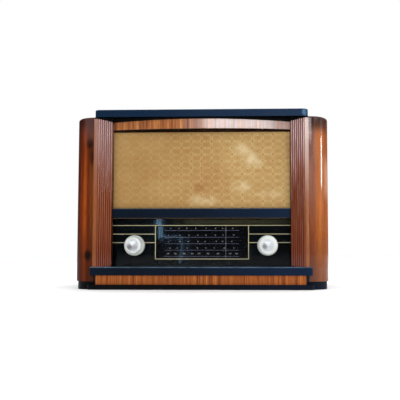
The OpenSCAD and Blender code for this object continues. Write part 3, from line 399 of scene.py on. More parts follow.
def reeded_wood():
    """The pilasters: upright reeds with dark grooves, and a paler flat band along their outside."""
    look = Look("reeded_wood")
    out = look.calc("ABSOLUTE", look.x)
    colour, fine, pores = wood_grain(look, out, look.z, REEDS, 70.0, 0.32, 0.30, 21.0)
    # Greyer and hazier towards the top, a painted veil of reflected light, and warmer towards the
    # foot
    top_veil = look.step(look.z, 0.190, 0.345)
    colour = look.mix(look.times(top_veil, 0.64), colour, tone(176, 142, 140))
    # Painted shade over the right-hand pilaster's lower part
    low = look.step(look.z, 0.270, 0.180)
    colour = look.mix(look.times(low, look.by_side(0.0, 0.34)), colour, tone(72, 20, 5))
    foot = look.step(look.z, 0.150, 0.045)
    colour = look.mix(look.times(foot, 0.45), colour, tone(112, 36, 10))
    # Painted shade in the grooves between the reeds, and painted highlights on their crests
    reach = look.minus(REEDS_END_X, out)
    phase = look.calc("FRACT", look.times(reach, 1 / REED_PITCH))
    ridge = look.apart(phase, 0.5)
    inside = look.step(reach, -0.0004, 0.0004)
    groove_shade = look.times(look.step(ridge, 0.26, 0.46), inside,
                        look.step(look.z, 0.16, 0.30, 0.80, 0.58))
    colour = look.mix(groove_shade, colour, tone(38, 15, 10))
    gleam = look.step(look.streaks(out, 160.0, look.z, 14.0, 4.0, 3.0), 0.40, 0.64)
    gleam = look.times(look.step(ridge, 0.20, 0.02), gleam, inside, look.by_side(0.55, 1.0),
                     look.step(look.z, 0.12, 0.33, 0.10, 0.80))
    colour = look.mix(gleam, colour, tone(222, 206, 204))
    # The flat outer band is rubbed paler, most along its outer edge
    outside = look.step(reach, 0.0004, -0.0004)
    worn = look.streaks(out, 300.0, look.z, 30.0, 8.0, 4.0, 0.65)
    band = look.times(outside, look.step(worn, 0.30, 0.62, 0.30, 0.75),
                      look.step(out, 0.2135, 0.2195, 0.45, 1.0))
    worn_tone = look.mix(look.by_side(), tone(142, 90, 52), tone(168, 112, 68))
    colour = look.mix(band, colour, worn_tone)
    # Painted sheen of reflected light on the flat band, towards the top and most on the right
    band_sheen = look.times(outside, look.step(look.z, 0.150, 0.320), look.by_side(0.04, 0.55))
    colour = look.mix(band_sheen, colour, tone(214, 194, 186))
    # Painted black shade in the wedge below the top plate
    painted_shade = under_top(look, 0.0012, 0.62)
    look.set(Base_Color=look.mix(painted_shade, colour, tone(5, 2, 3)))
    varnish(look, fine, pores, 0.30, 0.35, painted_shade)
    return look.mat


# Upper edges of the plate, the middle rail and the shelf
LACQUER_EDGES_Z = (0.3698, 0.1662, 0.0463)


def lacquer():
    """Old blue-black lacquer: hairline scratches, a little dust, and painted highlights along its
    edges.
    """
    look = Look("blue_black_lacquer", Specular_IOR_Level=0.08)
    cloud = look.noise(9.0, 4.0, 0.6)
    colour = look.ramp(cloud, [(0.25, 5, 14, 26), (0.55, 6, 19, 35), (0.85, 9, 26, 46)])
    # Bluer and lighter towards the right-hand end, as painted light from that side, and bluer on the
    # plate
    colour = look.fade(colour, look.x, -0.10, 0.26, 0.35, tone(20, 46, 80))
    colour = look.fade(colour, look.z, 0.300, 0.350, 0.42, tone(22, 50, 80))
    lines = look.vec(look.times(look.x, 30.0), look.times(look.y, 900.0), look.times(look.z, 900.0))
    lines = look.noise(1.0, 2.0, at=lines)
    colour = look.fade(colour, lines, 0.66, 0.76, 0.11, tone(62, 92, 124))
    # A painted highlight on the plate's front, near its right-hand corner
    up = look.facing("Z")
    upright = look.step(up, 0.96, 0.80)
    glint = look.step(look.noise(120.0, 3.0), 0.30, 0.62, 0.35, 0.75)
    glint = look.times(glint, upright, look.step(look.y, depth(12.0), depth(6.0)))
    glint = look.times(look.spot(0.2125, 0.3630, 0.0075, 0.0110), glint)
    colour = look.mix(glint, colour, tone(84, 122, 156))
    # Painted highlights along the upper edges and along the shelf's nose
    gleam = look.step(look.noise(60.0, 4.0, 0.7), 0.34, 0.66, 0.25, 0.75)
    for edge in LACQUER_EDGES_Z:
        near = look.times(look.step(look.apart(look.z, edge), 0.0011, 0.0002), upright)
        colour = look.mix(look.times(near, gleam), colour, tone(92, 116, 140))
    nose = look.times(look.between(up, 0.30, 0.70, 0.93, 0.995),
                      look.between(look.z, 0.0420, 0.0430, 0.0468, 0.0475))
    colour = look.mix(look.times(nose, gleam), colour, tone(104, 128, 150))
    # Painted shade: the plate's underside, which nothing lights, is painted near black
    under = look.times(look.step(up, -0.55, -0.90), look.step(look.z, 0.350, 0.354))
    colour = look.mix(under, colour, tone(3, 3, 5))
    look.surface(colour, cloud, 0.3, 0.8, 0.30, 0.40)
    look.bump(look.noise(70.0, 2.0), 0.015, 0.0006)
    return look.mat


def black_paint():
    """The plinth's paint, bluer to the right and chipped in places."""
    look = Look("black_paint", Specular_IOR_Level=0.08)
    cloud = look.noise(30.0, 4.0, 0.6)
    colour = look.ramp(cloud, [(0.25, 3, 3, 5), (0.6, 6, 7, 11), (0.9, 16, 20, 28)])
    colour = look.fade(colour, look.x, -0.05, 0.20, 0.8, tone(12, 22, 38))
    chips = look.noise(260.0, 3.0, 0.7)
    colour = look.fade(colour, chips, 0.72, 0.78, 0.35, tone(84, 74, 62))
    look.surface(colour, cloud, 0.3, 0.8, 0.36, 0.54)
    look.bump(look.noise(300.0, 3.0), 0.08, 0.0004)
    return look.mat


WARP_PITCH = 0.0011
WEFT_PITCH = 0.0010
# Bleached and brown patches of the cloth: x, z, half width, half height, strength
BLEACHED = ((0.080, 0.293, 0.026, 0.017, 0.40), (0.096, 0.278, 0.026, 0.018, 0.55),
            (0.110, 0.262, 0.024, 0.018, 0.50), (0.080, 0.212, 0.030, 0.018, 0.45),
            (0.004, 0.183, 0.040, 0.018, 0.45), (0.140, 0.196, 0.040, 0.014, 0.25))
BROWNED = ((-0.005, 0.210, 0.016, 0.013, 0.38), (0.020, 0.232, 0.060, 0.040, 0.16))


def cloth_look():
    """Woven pattern of long rows of rings that pass over each other, in a thread that shows."""
    look = Look("grille_fabric", Roughness=0.95, Specular_IOR_Level=0.1, Sheen_Weight=0.12,
                Sheen_Roughness=0.5)
    bend = look.sway(look.noise(16.0, 2.0), 0.0022)
    fx, fz = (look.apart(look.calc("FRACT", look.times(look.plus(axis, bend), 1 / pitch)), 0.5)
              for axis, pitch in zip((look.x, look.z), RING_PITCH))
    dx = look.times(fx, RING_PITCH[0] / RING_SIZE[0])
    lines, reach = [], []
    for gap in (fz, look.minus(1.0, fz)):
        far = look.length(dx, look.times(gap, RING_PITCH[1] / RING_SIZE[1]))
        reach.append(far)
        lines.append(look.apart(far, 1.0))
    ring = look.step(look.calc("MINIMUM", *lines), RING_LINE, 0.03)
    inner = look.step(look.calc("MINIMUM", *reach), 0.45, 0.10)
    corner = look.step(look.plus(fx, fz), 0.82, 0.95)
    warp = look.calc("SINE", look.times(look.x, 2 * math.pi / WARP_PITCH))
    weft = look.calc("SINE", look.times(look.z, 2 * math.pi / WEFT_PITCH))
    weave = look.times(look.plus(look.times(warp, weft), 1.0), 0.5)
    uneven = look.noise(120.0, 3.0)
    soil = look.noise(9.0, 4.0, 0.6)
    base = look.ramp(soil, [(0.28, 164, 122, 68), (0.50, 178, 140, 84), (0.72, 194, 158, 102)])
    # Lighter to the right and darker to the left: painted light from the right-hand side
    base = look.fade(base, look.x, -0.12, 0.18, 0.38, tone(206, 174, 120))
    base = look.fade(base, look.x, 0.06, -0.14, 0.30, tone(150, 112, 66))
    # The pattern is clearest in the middle and to the right, and much of it has faded
    seen = look.times(look.step(uneven, 0.34, 0.66, 0.15, 1.0),
                      look.step(look.x, -0.16, 0.06, 0.35, 1.0))
    dots = look.plus(look.times(seen, 0.34), 0.14)
    colour = look.mix(look.times(inner, look.times(seen, 0.36)), base, tone(160, 100, 48))
    colour = look.mix(look.times(corner, dots), colour, tone(132, 90, 44))
    colour = look.mix(look.times(ring, look.times(seen, 0.44)), colour, tone(224, 198, 142))
    colour = look.fade(colour, look.noise(75.0, 3.0, 0.6), 0.50, 0.68, 0.26, tone(176, 118, 64))
    colour = look.mix(look.step(weave, 0.0, 0.55, 0.22, 0.0), colour, tone(124, 84, 42))
    patchy = look.step(look.noise(45.0, 2.0), 0.25, 0.65)
    for x, z, rx, rz, strength in BLEACHED:
        patch = look.times(look.spot(x, z, rx, rz), patchy, strength)
        colour = look.mix(patch, colour, tone(232, 214, 172))
    for x, z, rx, rz, strength in BROWNED:
        colour = look.mix(look.times(look.spot(x, z, rx, rz), strength), colour, tone(150, 82, 40))
    # Painted shade along the opening's edges, where rails and pilasters stand in front of the cloth
    for value, low, high in ((look.z, 0.1745, 0.1660), (look.z, 0.3205, 0.3290),
                             (look.x, -0.176, -0.186), (look.x, 0.180, 0.187)):
        colour = look.fade(colour, value, low, high, 0.30, tone(140, 104, 58))
    look.set(Base_Color=colour)
    look.bump(weave, 0.5, 0.0003)
    look.bump(ring, 0.25, 0.0005)
    return look.mat


def metal(name, dark, light, rough, scale=300.0, stretch=(1.0, 1.0, 1.0)):
    """Bare or plated metal with clouded tarnish and fine wipe marks."""
    look = Look(name, Metallic=1.0)
    axes = zip((look.x, look.y, look.z), stretch)
    wipe = look.noise(1.0, 3.0, at=look.vec(*(look.times(axis, scale * k) for axis, k in axes)))
    colour = look.fade(light, look.noise(40.0, 4.0), 0.3, 0.7, 0.6, dark)
    colour = look.fade(colour, wipe, 0.35, 0.7, 0.35, dark)
    look.surface(colour, wipe, 0.2, 0.8, rough * 0.8, rough * 1.4)
    look.bump(wipe, 0.05, 0.0002)
    return look.mat


def turned_metal(name, x, z):
    """Spun metal: fine rings round the knob's own axis."""
    look = Look(name, Metallic=1.0, Anisotropic=0.85)
    look.set(Tangent=look.add("ShaderNodeTangent", direction_type="RADIAL", axis="Y").outputs[0])
    ring = look.noise(1.0, 2.0, at=look.vec(look.times(look.away(x, z), 2600.0), 0.0, 0.0))
    colour = look.ramp(ring, [(0.25, 182, 186, 190), (0.7, 232, 236, 240)])
    # Painted reflections of the spun cone: greyer in its lower half, darkest to the left, and a
    # painted glint above the middle
    colour = look.fade(colour, look.z, z + 0.0010, z - 0.0040, 0.30, tone(150, 146, 144))
    tarnish = look.times(look.spot(x - 0.0066, z - 0.0022, 0.0075, 0.0092), 0.70)
    colour = look.mix(tarnish, colour, tone(88, 82, 86))
    polish = look.times(look.spot(x + 0.0012, z + 0.0050, 0.0085, 0.0070), 0.85)
    colour = look.mix(polish, colour, tone(250, 253, 255))
    colour = look.fade(colour, look.noise(180.0, 3.0), 0.46, 0.76, 0.4, tone(128, 128, 124))
    look.surface(colour, ring, 0.2, 0.8, 0.34, 0.46)
    look.bump(ring, 0.35, 0.00025)
    return look.mat


def plastic(name, dark, light, rough, grime_and_shade=0.35):
    """Moulded plastic, yellowed unevenly, with fine dark specks and painted shade in its hollows."""
    look = Look(name, Coat_Weight=0.25, Coat_Roughness=0.15, Subsurface_Weight=0.04,
                Subsurface_Scale=0.002)
    cloud = look.noise(55.0, 4.0)
    colour = look.fade(light, cloud, 0.3, 0.7, 1.0, dark)
    hollow = look.add("ShaderNodeNewGeometry").outputs["Pointiness"]
    # Painted shade in the hollows
    colour = look.fade(colour, hollow, 0.497, 0.44, grime_and_shade, tone(96, 84, 62))
    fine = look.noise(900.0, 2.0)
    colour = look.fade(colour, fine, 0.62, 0.74, grime_and_shade * 0.5, tone(150, 138, 112))
    look.surface(colour, cloud, 0.3, 0.8, rough, rough + 0.15)
    look.bump(fine, 0.05, 0.0002)
    return look.mat


def board(name, dark, light, fibre_scale, rough, relief):
    """Pressed or plain board: mottled fibres without a direction."""
    look = Look(name)
    mottle = look.noise(fibre_scale, 5.0, 0.65, 1.2)
    colour = look.fade(dark, mottle, 0.3, 0.7, 1.0, light)
    colour = look.fade(colour, look.noise(12.0, 3.0), 0.4, 0.75, 0.35, dark)
    look.surface(colour, mottle, 0.2, 0.8, rough - 0.1, rough + 0.1)
    look.bump(mottle, relief, 0.0004)
    return look.mat


PLIES_PER_METRE = 480.0


def plywood(name, stained=False):
    """Pale plywood with its plies showing at the sides. Stained, its front is black."""
    look = Look(name)
    stops = [(0.25, 150, 112, 70), (0.5, 178, 140, 94), (0.8, 198, 164, 118)]
    colour, fine, _ = wood_grain(look, look.y, look.x, stops, 60.0, 0.25, 0.2, 31.0)
    plies = look.calc("FRACT", look.times(look.z, PLIES_PER_METRE))
    side = look.step(look.calc("ABSOLUTE", look.facing("Z")), 0.5, 0.3)
    dark = look.times(look.step(plies, 0.45, 0.55, 0.0, 0.45), side)
    colour = look.mix(dark, colour, tone(112, 76, 44))
    if stained:
        colour = look.fade(colour, look.y, depth(60.0), depth(50.0), 1.0, tone(9, 8, 9))
    look.surface(colour, fine, 0.7, 1.2, 0.62, 0.78)
    look.bump(fine, 0.2, 0.0003)
    return look.mat


def scale_glass():
    """Clear flat glass with faint smears, see-through but for a little gloss on its front face."""
    look = Look("scale_glass", Specular_IOR_Level=0.3)
    look.set(Alpha=look.step(look.facing("Y"), -0.2, -0.9, 0.0, 0.05))
    smear = look.noise(45.0, 4.0)
    colour = look.mix(look.step(smear, 0.4, 0.8), tone(5, 6, 7), tone(11, 12, 14))
    look.surface(colour, smear, 0.45, 0.8, 0.20, 0.28)
    return look.mat


def valve_glass():
    """Clear bulb with a silvered top, clouded unevenly."""
    look = Look("valve_glass", IOR=1.46)
    edge = look.plus(look.z, look.times(look.noise(60.0), 0.008))
    top = look.step(edge, 0.146, 0.156)
    smear = look.noise(80.0, 3.0)
    silver = look.mix(look.step(smear, 0.4, 0.7), tone(96, 92, 88), tone(150, 150, 148))
    colour = look.mix(top, tone(196, 206, 204), silver)
    look.surface(colour, smear, 0.3, 0.8, 0.05, 0.16)
    look.set(Metallic=look.times(top, 0.9), Transmission_Weight=look.minus(1.0, top))
    return look.mat


SHEETS_PER_METRE = 1100.0


def core_iron():
    """Stacked laminations with shellac."""
    look = Look("core_iron", Metallic=0.5)
    sheets = look.calc("FRACT", look.times(look.y, SHEETS_PER_METRE))
    cloud = look.noise(70.0, 4.0)
    iron = look.mix(look.step(cloud, 0.35, 0.7), tone(62, 60, 60), tone(104, 88, 72))
    iron = look.fade(iron, sheets, 0.35, 0.5, 0.5, tone(24, 22, 22))
    look.surface(iron, cloud, 0.3, 0.8, 0.42, 0.62)
    look.bump(sheets, 0.3, 0.0003)
    return look.mat


def cone_paper():
    """Felted paper with rings pressed in round the loudspeaker's axis."""
    look = Look("cone_paper")
    ribs = look.calc("SINE", look.times(look.away(SPEAKER_X, SPEAKER_Z), 1400.0))
    felt = look.noise(500.0, 4.0)
    colour = look.mix(look.step(felt, 0.3, 0.7), tone(44, 38, 34), tone(74, 64, 54))
    look.surface(colour, felt, 0.3, 0.7, 0.85, 0.98)
    look.bump(ribs, 0.3, 0.0006)
    look.bump(felt, 0.3, 0.0003)
    return look.mat


def rubber():
    """Black rubber under grey dust."""
    look = Look("black_rubber")
    dust = look.noise(260.0, 4.0)
    colour = look.mix(look.step(dust, 0.45, 0.75), tone(20, 20, 20), tone(62, 60, 56))
    look.surface(colour, dust, 0.3, 0.8, 0.6, 0.85)
    look.bump(dust, 0.2, 0.0003)
    return look.mat


def cord_look():
    """Twisted cord with dirt from the drive."""
    look = Look("cord_fibre")
    along = look.plus(look.plus(look.x, look.y), look.z)
    twist = look.calc("SINE", look.times(along, 5200.0))
    dirt = look.noise(120.0, 3.0)
    colour = look.mix(look.step(twist, -0.6, 0.8), tone(98, 80, 52), tone(166, 146, 104))
    colour = look.fade(colour, dirt, 0.5, 0.8, 0.5, tone(60, 48, 34))
    look.surface(colour, dirt, 0.3, 0.7, 0.7, 0.9)
    look.bump(twist, 0.5, 0.0002)
    return look.mat


def dial_board():
    """Glossy black plate behind the glass, with dust along its foot."""
    look = Look("scale_board", Specular_IOR_Level=0.1)
    cloud = look.noise(60.0, 5.0)
    colour = look.ramp(cloud, [(0.3, 6, 7, 10), (0.7, 13, 15, 21)])
    dust = look.times(look.step(look.noise(600.0), 0.60, 0.72),
                      look.step(look.z, 0.085, 0.050, 0.02, 0.16))
    colour = look.mix(dust, colour, tone(70, 74, 80))
    look.surface(colour, cloud, 0.3, 0.7, 0.035, 0.05)
    return look.mat


def mask_paint():
    """Glossy black card behind the glass, with a muted olive band along its top right: a painted
    reflection.
    """
    look = Look("mask_paint", Specular_IOR_Level=0.1)
    cloud = look.noise(70.0, 4.0)
    colour = look.ramp(cloud, [(0.3, 6, 10, 13), (0.7, 11, 17, 21)])
    # Painted reflection: an olive band just below the middle rail
    start = look.step(look.plus(look.x, look.times(cloud, 0.06)), -0.040, 0.020)
    painted_band = look.times(look.between(look.z, 0.1352, 0.1362, 0.1442, 0.1452), start)
    colour = look.mix(look.times(painted_band, 0.85), colour, tone(62, 62, 46))
    look.surface(colour, cloud, 0.3, 0.7, 0.035, 0.05)
    return look.mat


def painted(name, dark, light, rough, gloss=0.5):
    """Paint, stain or ink, a little uneven."""
    look = Look(name, Specular_IOR_Level=gloss)
    cloud = look.noise(90.0, 4.0)
    colour = look.fade(dark, cloud, 0.3, 0.7, 1.0, light)
    look.surface(colour, cloud, 0.3, 0.7, rough, rough + 0.15)
    look.bump(look.noise(500.0), 0.08, 0.0002)
    return look.mat


def plain_name(mat):
    """A material's name without the number that tells it from one that was there before."""
    return mat.name.split(".")[0]


# For the nodes that bring a material of the same name
looks = {plain_name(mat): mat for mat in (
    reeded_wood(), lacquer(), black_paint(), plywood("plywood"), scale_glass(), dial_board(),
    painted("pointer_paint", tone(84, 84, 90), tone(112, 112, 118), 0.4, 0.2),
    metal("bright_steel", tone(96, 94, 90), tone(178, 178, 176), 0.30),
    plastic("ivory_plastic", tone(202, 206, 202), tone(226, 230, 228), 0.28),
    plastic("aged_plastic", tone(172, 176, 172), tone(202, 206, 202), 0.34, 0.5),
    metal("brass", tone(120, 90, 44), tone(198, 164, 92), 0.32),
    plastic("cream_plastic", tone(198, 188, 158), tone(224, 216, 190), 0.4),
    cord_look(),
    board("brown_board", tone(84, 50, 26), tone(134, 88, 50), 260.0, 0.55, 0.1),
    metal("control_metal", tone(110, 104, 92), tone(170, 162, 144), 0.42),
    metal("light_alloy", tone(130, 130, 128), tone(196, 198, 198), 0.40, 200.0, (1.0, 1.0, 4.0)),
    metal("chassis_plate", tone(126, 124, 116), tone(160, 158, 148), 0.46, 60.0),
    painted("speaker_paint", tone(40, 44, 50), tone(66, 72, 80), 0.45),
    cone_paper(),
    metal("magnet_metal", tone(60, 62, 66), tone(112, 114, 118), 0.45),
    core_iron(), valve_glass(), rubber(),
    board("pressed_board", tone(66, 42, 24), tone(116, 78, 46), 340.0, 0.72, 0.35),
    metal("lamp_brass", tone(116, 92, 50), tone(196, 168, 104), 0.35),
)}
# By node, where pieces of one material look different
by_node = {
    "side_panel_left": side_veneer(True),
    "side_panel_right": side_veneer(False),
    "top_rail": cross_veneer("cross_veneer_top", RAIL_TOP, 170.0, 41.0, 0.16, 0.85, True),
    "lower_rail": cross_veneer("cross_veneer_low", RAIL_LOW, 120.0, 57.0, 0.40, 0.08),
    "cabinet_floor": plywood("stained_plywood", True),
    "cabinet_roof": roof_veneer(),
    "volume_insert": turned_metal("spun_metal_left", -KNOB_X, KNOB_Z),
    "band_insert": turned_metal("spun_metal_right", KNOB_X, KNOB_Z),
}
for name, node in nodes.items():
    for slot in node.material_slots:
        known = by_node.get(name) or looks.get(plain_name(slot.material))
        if known:
            slot.material = known


# Edges: the cabinet's pieces lose their knife edges

def soften(name, width):
    """Rounds the sharp edges of a solid a little, by modifiers, so that its mesh isn't changed."""
    node = nodes[name]
    weld = node.modifiers.new("weld", "WELD")
    weld.merge_threshold = 0.00001
    bevel = node.modifiers.new("bevel", "BEVEL")
    bevel.width = width
    bevel.segments = 2
    bevel.limit_method = "ANGLE"
    bevel.angle_limit = math.radians(40.0)
    level = node.modifiers.new("level", "WEIGHTED_NORMAL")
    level.mode = "FACE_AREA"
    level.weight = 100


EDGE_WIDTHS = {"top_plate": 0.0012, "front_shelf": 0.0008, "mid_rail": 0.0006, "lower_rail": 0.0004,
               "plinth_front": 0.0010, "plinth_side_left": 0.0008, "plinth_side_right": 0.0008,
               "plinth_rear": 0.0008, "top_rail": 0.0006, "rear_cover": 0.0004,
               "back_battens": 0.0006}
for name, width in EDGE_WIDTHS.items():
    soften(name, width)


# Pieces made here

def add_piece(name, mesh, look, body="root"):
    piece = bpy.data.objects.new(name, mesh)
    bpy.context.scene.collection.objects.link(piece)
    piece.data.materials.append(look)
    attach(piece, body)
    return piece


def mesh_of(name, points, faces, smooth=False):
    mesh = bpy.data.meshes.new(name)
    mesh.from_pydata(points, [], faces)
    mesh.polygons.foreach_set("use_smooth", [smooth] * len(mesh.polygons))
    mesh.update()
    return mesh


BOX_FACES = ((0, 1, 3, 2), (4, 6, 7, 5), (0, 4, 5, 1), (2, 3, 7, 6), (0, 2, 6, 4), (1, 5, 7, 3))


def boxes_mesh(name, boxes):
    """One mesh of separate boxes, each (x0, x1, y0, y1, z0, z1)."""
    points, faces = [], []
    for x0, x1, y0, y1, z0, z1 in boxes:
        n = len(points)
        points += [(x, y, z) for x in (x0, x1) for y in (y0, y1) for z in (z0, z1)]
        faces += [tuple(n + i for i in face) for face in BOX_FACES]
    return mesh_of(name, points, faces)


# Grille cloth: a stretched sheet with the relief of its woven rings

CLOTH_GRID = 0.0014        # between its points
CLOTH_RIM = 4.0            # grid steps over which the relief dies out at the edge
RING_RELIEF = 0.00016
SLACK = 0.00005            # height of the sheet's slight waves
# How far its faces lie inside those of the CAD sheet
CLOTH_FRONT_IN = 0.00025
CLOTH_BACK_IN = 0.00005


def ring_relief(x, z):
    fx = abs((x / RING_PITCH[0]) % 1.0 - 0.5) * RING_PITCH[0] / RING_SIZE[0]
    fz = abs((z / RING_PITCH[1]) % 1.0 - 0.5)
    best = 0.0
    for gap in (fz, 1.0 - fz):
        off = abs(math.hypot(fx, gap * RING_PITCH[1] / RING_SIZE[1]) - 1.0)
        best = max(best, 1.0 - min(1.0, off / RING_LINE))
    return best


def make_cloth():
    lo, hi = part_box("grille_cloth")
    nx = round((hi.x - lo.x) / CLOTH_GRID)
    nz = round((hi.z - lo.z) / CLOTH_GRID)
    front = lo.y + CLOTH_FRONT_IN
    back = hi.y - CLOTH_BACK_IN
    points, faces = [], []
    for k in range(nz + 1):
        z = lo.z + (hi.z - lo.z) * k / nz
        for i in range(nx + 1):
            x = lo.x + (hi.x - lo.x) * i / nx
            rim = min(1.0, min(i, nx - i, k, nz - k) / CLOTH_RIM)
            wave = SLACK * math.sin(x * 41.0 + 1.3) * math.sin(z * 57.0)
            points.append((x, front - (RING_RELIEF * ring_relief(x, z) + wave) * rim, z))
    row = nx + 1
    for k in range(nz):
        for i in range(nx):
            a = k * row + i
            faces.append((a, a + 1, a + row + 1, a + row))
    # The edge's points, once round, are repeated on the back, which is one face
    edge = [*range(row), *(k * row + nx for k in range(1, nz + 1)),
            *(nz * row + i for i in range(nx - 1, -1, -1)),
            *(k * row for k in range(nz - 1, 0, -1))]
    first = len(points)
    points += [(points[i][0], back, points[i][2]) for i in edge]
    for n in range(len(edge)):
        m = (n + 1) % len(edge)
        faces.append((edge[n], first + n, first + m, edge[m]))
    faces.append(tuple(first + n for n in reversed(range(len(edge)))))
    cloth = add_piece("woven_cloth", mesh_of("woven_cloth", points, faces, True), cloth_look())
    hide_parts("grille_cloth")


make_cloth()


def make_bead():
    """Dark half-round bead in the corner between the top rail and the cloth."""
    half, low, high = 0.1847, 0.3272, 0.3307
    back, bulge = depth(23.05), 0.0011
    middle, radius = (low + high) / 2, (high - low) / 2
    steps = 8
    ring = []
    for i in range(steps + 1):
        a = math.pi * i / steps
        ring.append((back - bulge * math.sin(a), middle - radius * math.cos(a)))
    points = [(side * half, y, z) for side in (-1, 1) for y, z in ring]
    n = len(ring)
    faces = [(i, n + i, n + (i + 1) % n, (i + 1) % n) for i in range(n)]
    faces += [tuple(range(n)), tuple(reversed(range(n, 2 * n)))]
    stain = painted("bead_dark", tone(22, 7, 2), tone(40, 15, 5), 0.7, 0.1)
    add_piece("cloth_bead", mesh_of("cloth_bead", points, faces), stain)


make_bead()


# Scale: the card behind the glass, its gold lines and its printing

GLASS_BACK = depth(38.0)
# The gold frame round the scale: half its width, and its foot
FRAME_X = 0.0980
FRAME_Z = 0.0620
# The gold lines, of which the first is the frame's top, and their ends
LINE_Z = (0.1325, 0.1143, 0.0964)
LINE_END_X = 0.1885
# How far behind the glass's back the pieces' front and rear faces lie
GOLD_DEPTH = (0.00004, 0.00016)
INK_DEPTH = (0.00004, 0.00014)
CARD_DEPTH = (0.00020, 0.00050)


def behind_glass(depths):
    return [GLASS_BACK + d for d in depths]


def sheet_with_holes(name, loops, y0, y1):
    """A thin upright sheet. The first loop of (x, z) points is its outline, the rest its holes."""
    flat = [[Vector((x, z, 0.0)) for x, z in loop] for loop in loops]
    triangles = geometry.tessellate_polygon(flat)
    ring = [p for loop in loops for p in loop]
    n = len(ring)
    points = [(x, y, z) for y in (y0, y1) for x, z in ring]
    faces = []
    for a, b, c in triangles:
        faces += [(a, b, c), (n + c, n + b, n + a)]
    first = 0
    for loop in loops:
        for i in range(len(loop)):
            a, b = first + i, first + (i + 1) % len(loop)
            faces.append((a, b, n + b, n + a))
        first += len(loop)
    mesh = mesh_of(name, points, faces)
    solid = bmesh.new()
    solid.from_mesh(mesh)
    bmesh.ops.recalc_face_normals(solid, faces=solid.faces)
    solid.to_mesh(mesh)
    solid.free()
    return mesh


def make_dial_mask():
    """Thin black card behind the glass, open at the scale and round the two shafts."""
    lo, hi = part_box("dial_glass")
    foot, top = lo.z + 0.0003, hi.z + 0.0028
    outline = [(lo.x, foot), (hi.x, foot), (hi.x, top), (lo.x, top)]
    window = [(-FRAME_X, FRAME_Z), (-FRAME_X, LINE_Z[0]), (FRAME_X, LINE_Z[0]), (FRAME_X, FRAME_Z)]
    loops = [outline, window]
    hole, sides = 0.0095, 32
    for x in (-KNOB_X, KNOB_X):
        turns = [math.tau * i / sides for i in range(sides)]
        loops.append([(x + hole * math.cos(a), KNOB_Z + hole * math.sin(a)) for a in turns])
    mesh = sheet_with_holes("dial_mask", loops, *behind_glass(CARD_DEPTH))
    add_piece("dial_mask", mesh, mask_paint())


def gold_print():
    look = Look("gold_print", Specular_IOR_Level=0.4)
    wear = look.noise(260.0, 4.0, 0.7)
    colour = look.ramp(wear, [(0.30, 196, 182, 132), (0.45, 228, 216, 166), (0.75, 242, 236, 198)])
    look.surface(colour, wear, 0.3, 0.8, 0.32, 0.5)
    return look.mat


def gold_lines():
    y0, y1 = behind_glass(GOLD_DEPTH)
    t = 0.0006    # half a line's thickness
    top = LINE_Z[0]
    boxes = [(-LINE_END_X, LINE_END_X, y0, y1, top - t, top + t)]
    for z in LINE_Z[1:]:
        boxes += [(-LINE_END_X, -FRAME_X - t, y0, y1, z - t, z + t),
                  (FRAME_X + t, LINE_END_X, y0, y1, z - t, z + t)]
    for x in (-FRAME_X, FRAME_X):
        boxes.append((x - t, x + t, y0, y1, FRAME_Z + t, top - t))
    boxes.append((-FRAME_X - t, FRAME_X + t, y0, y1, FRAME_Z - t, FRAME_Z + t))
    add_piece("gold_lines", boxes_mesh("gold_lines", boxes), gold_print())


def text_mesh(name, labels, y, thick):
    """One mesh of several short labels, each (text, x, z, size)."""
    merged = bmesh.new()
    for text, x, z, size in labels:
        curve = bpy.data.curves.new("label", "FONT")
        curve.body = text
        curve.size = size
        curve.extrude = thick / 2
        curve.align_x = "CENTER"
        curve.align_y = "CENTER"
        curve.resolution_u = 3
        label = bpy.data.objects.new("label", curve)
        bpy.context.scene.collection.objects.link(label)
        bpy.context.view_layer.update()
        graph = bpy.context.evaluated_depsgraph_get()
        flat = bpy.data.meshes.new_from_object(label.evaluated_get(graph))
        for v in flat.vertices:
            v.co = Vector((x + v.co.x, y - v.co.z, z + v.co.y))
        merged.from_mesh(flat)
        bpy.data.objects.remove(label)
        bpy.data.curves.remove(curve)
        bpy.data.meshes.remove(flat)
    bmesh.ops.remove_doubles(merged, verts=merged.verts, dist=0.000004)
    mesh = bpy.data.meshes.new(name)
    merged.to_mesh(mesh)
    merged.free()
    return mesh


ROWS_Z = (0.1217, 0.1074, 0.0939, 0.0803, 0.0673)
ROW_END_X = 0.0780
ROW_HALF = 0.00022         # half the thickness of a row's line
TICKS = 40
TICK_START_X = -0.0760
TICK_PITCH = 0.0039
TICK_HALF = 0.00012        # half a tick's width
TICK_LIFT = 0.00030        # a tick's foot above its line
TICK_TALL = 0.0014         # every fifth tick
TICK_SHORT = 0.0008
# Small bars over two of the rows: x of their ends, half their height, and how far over the line
BAR_X = (0.0505, 0.0517)
BAR_HALF = 0.0006
BAR_LIFT = 0.0016
# Numbers: over the first four rows, spread a little, and one line of them over the last
NUMBER_START_X = -0.068
NUMBER_PITCH = 0.0190
NUMBER_SPREAD = 0.003
NUMBER_LIFT = 0.0046
NUMBER_SIZE = 0.0030
LAST_X = (-0.0713, -0.0565, -0.0375, -0.0207, -0.0060, 0.0129, 0.0339, 0.0591, 0.0727)
LAST_Z = 0.0732
LAST_SIZE = 0.0038


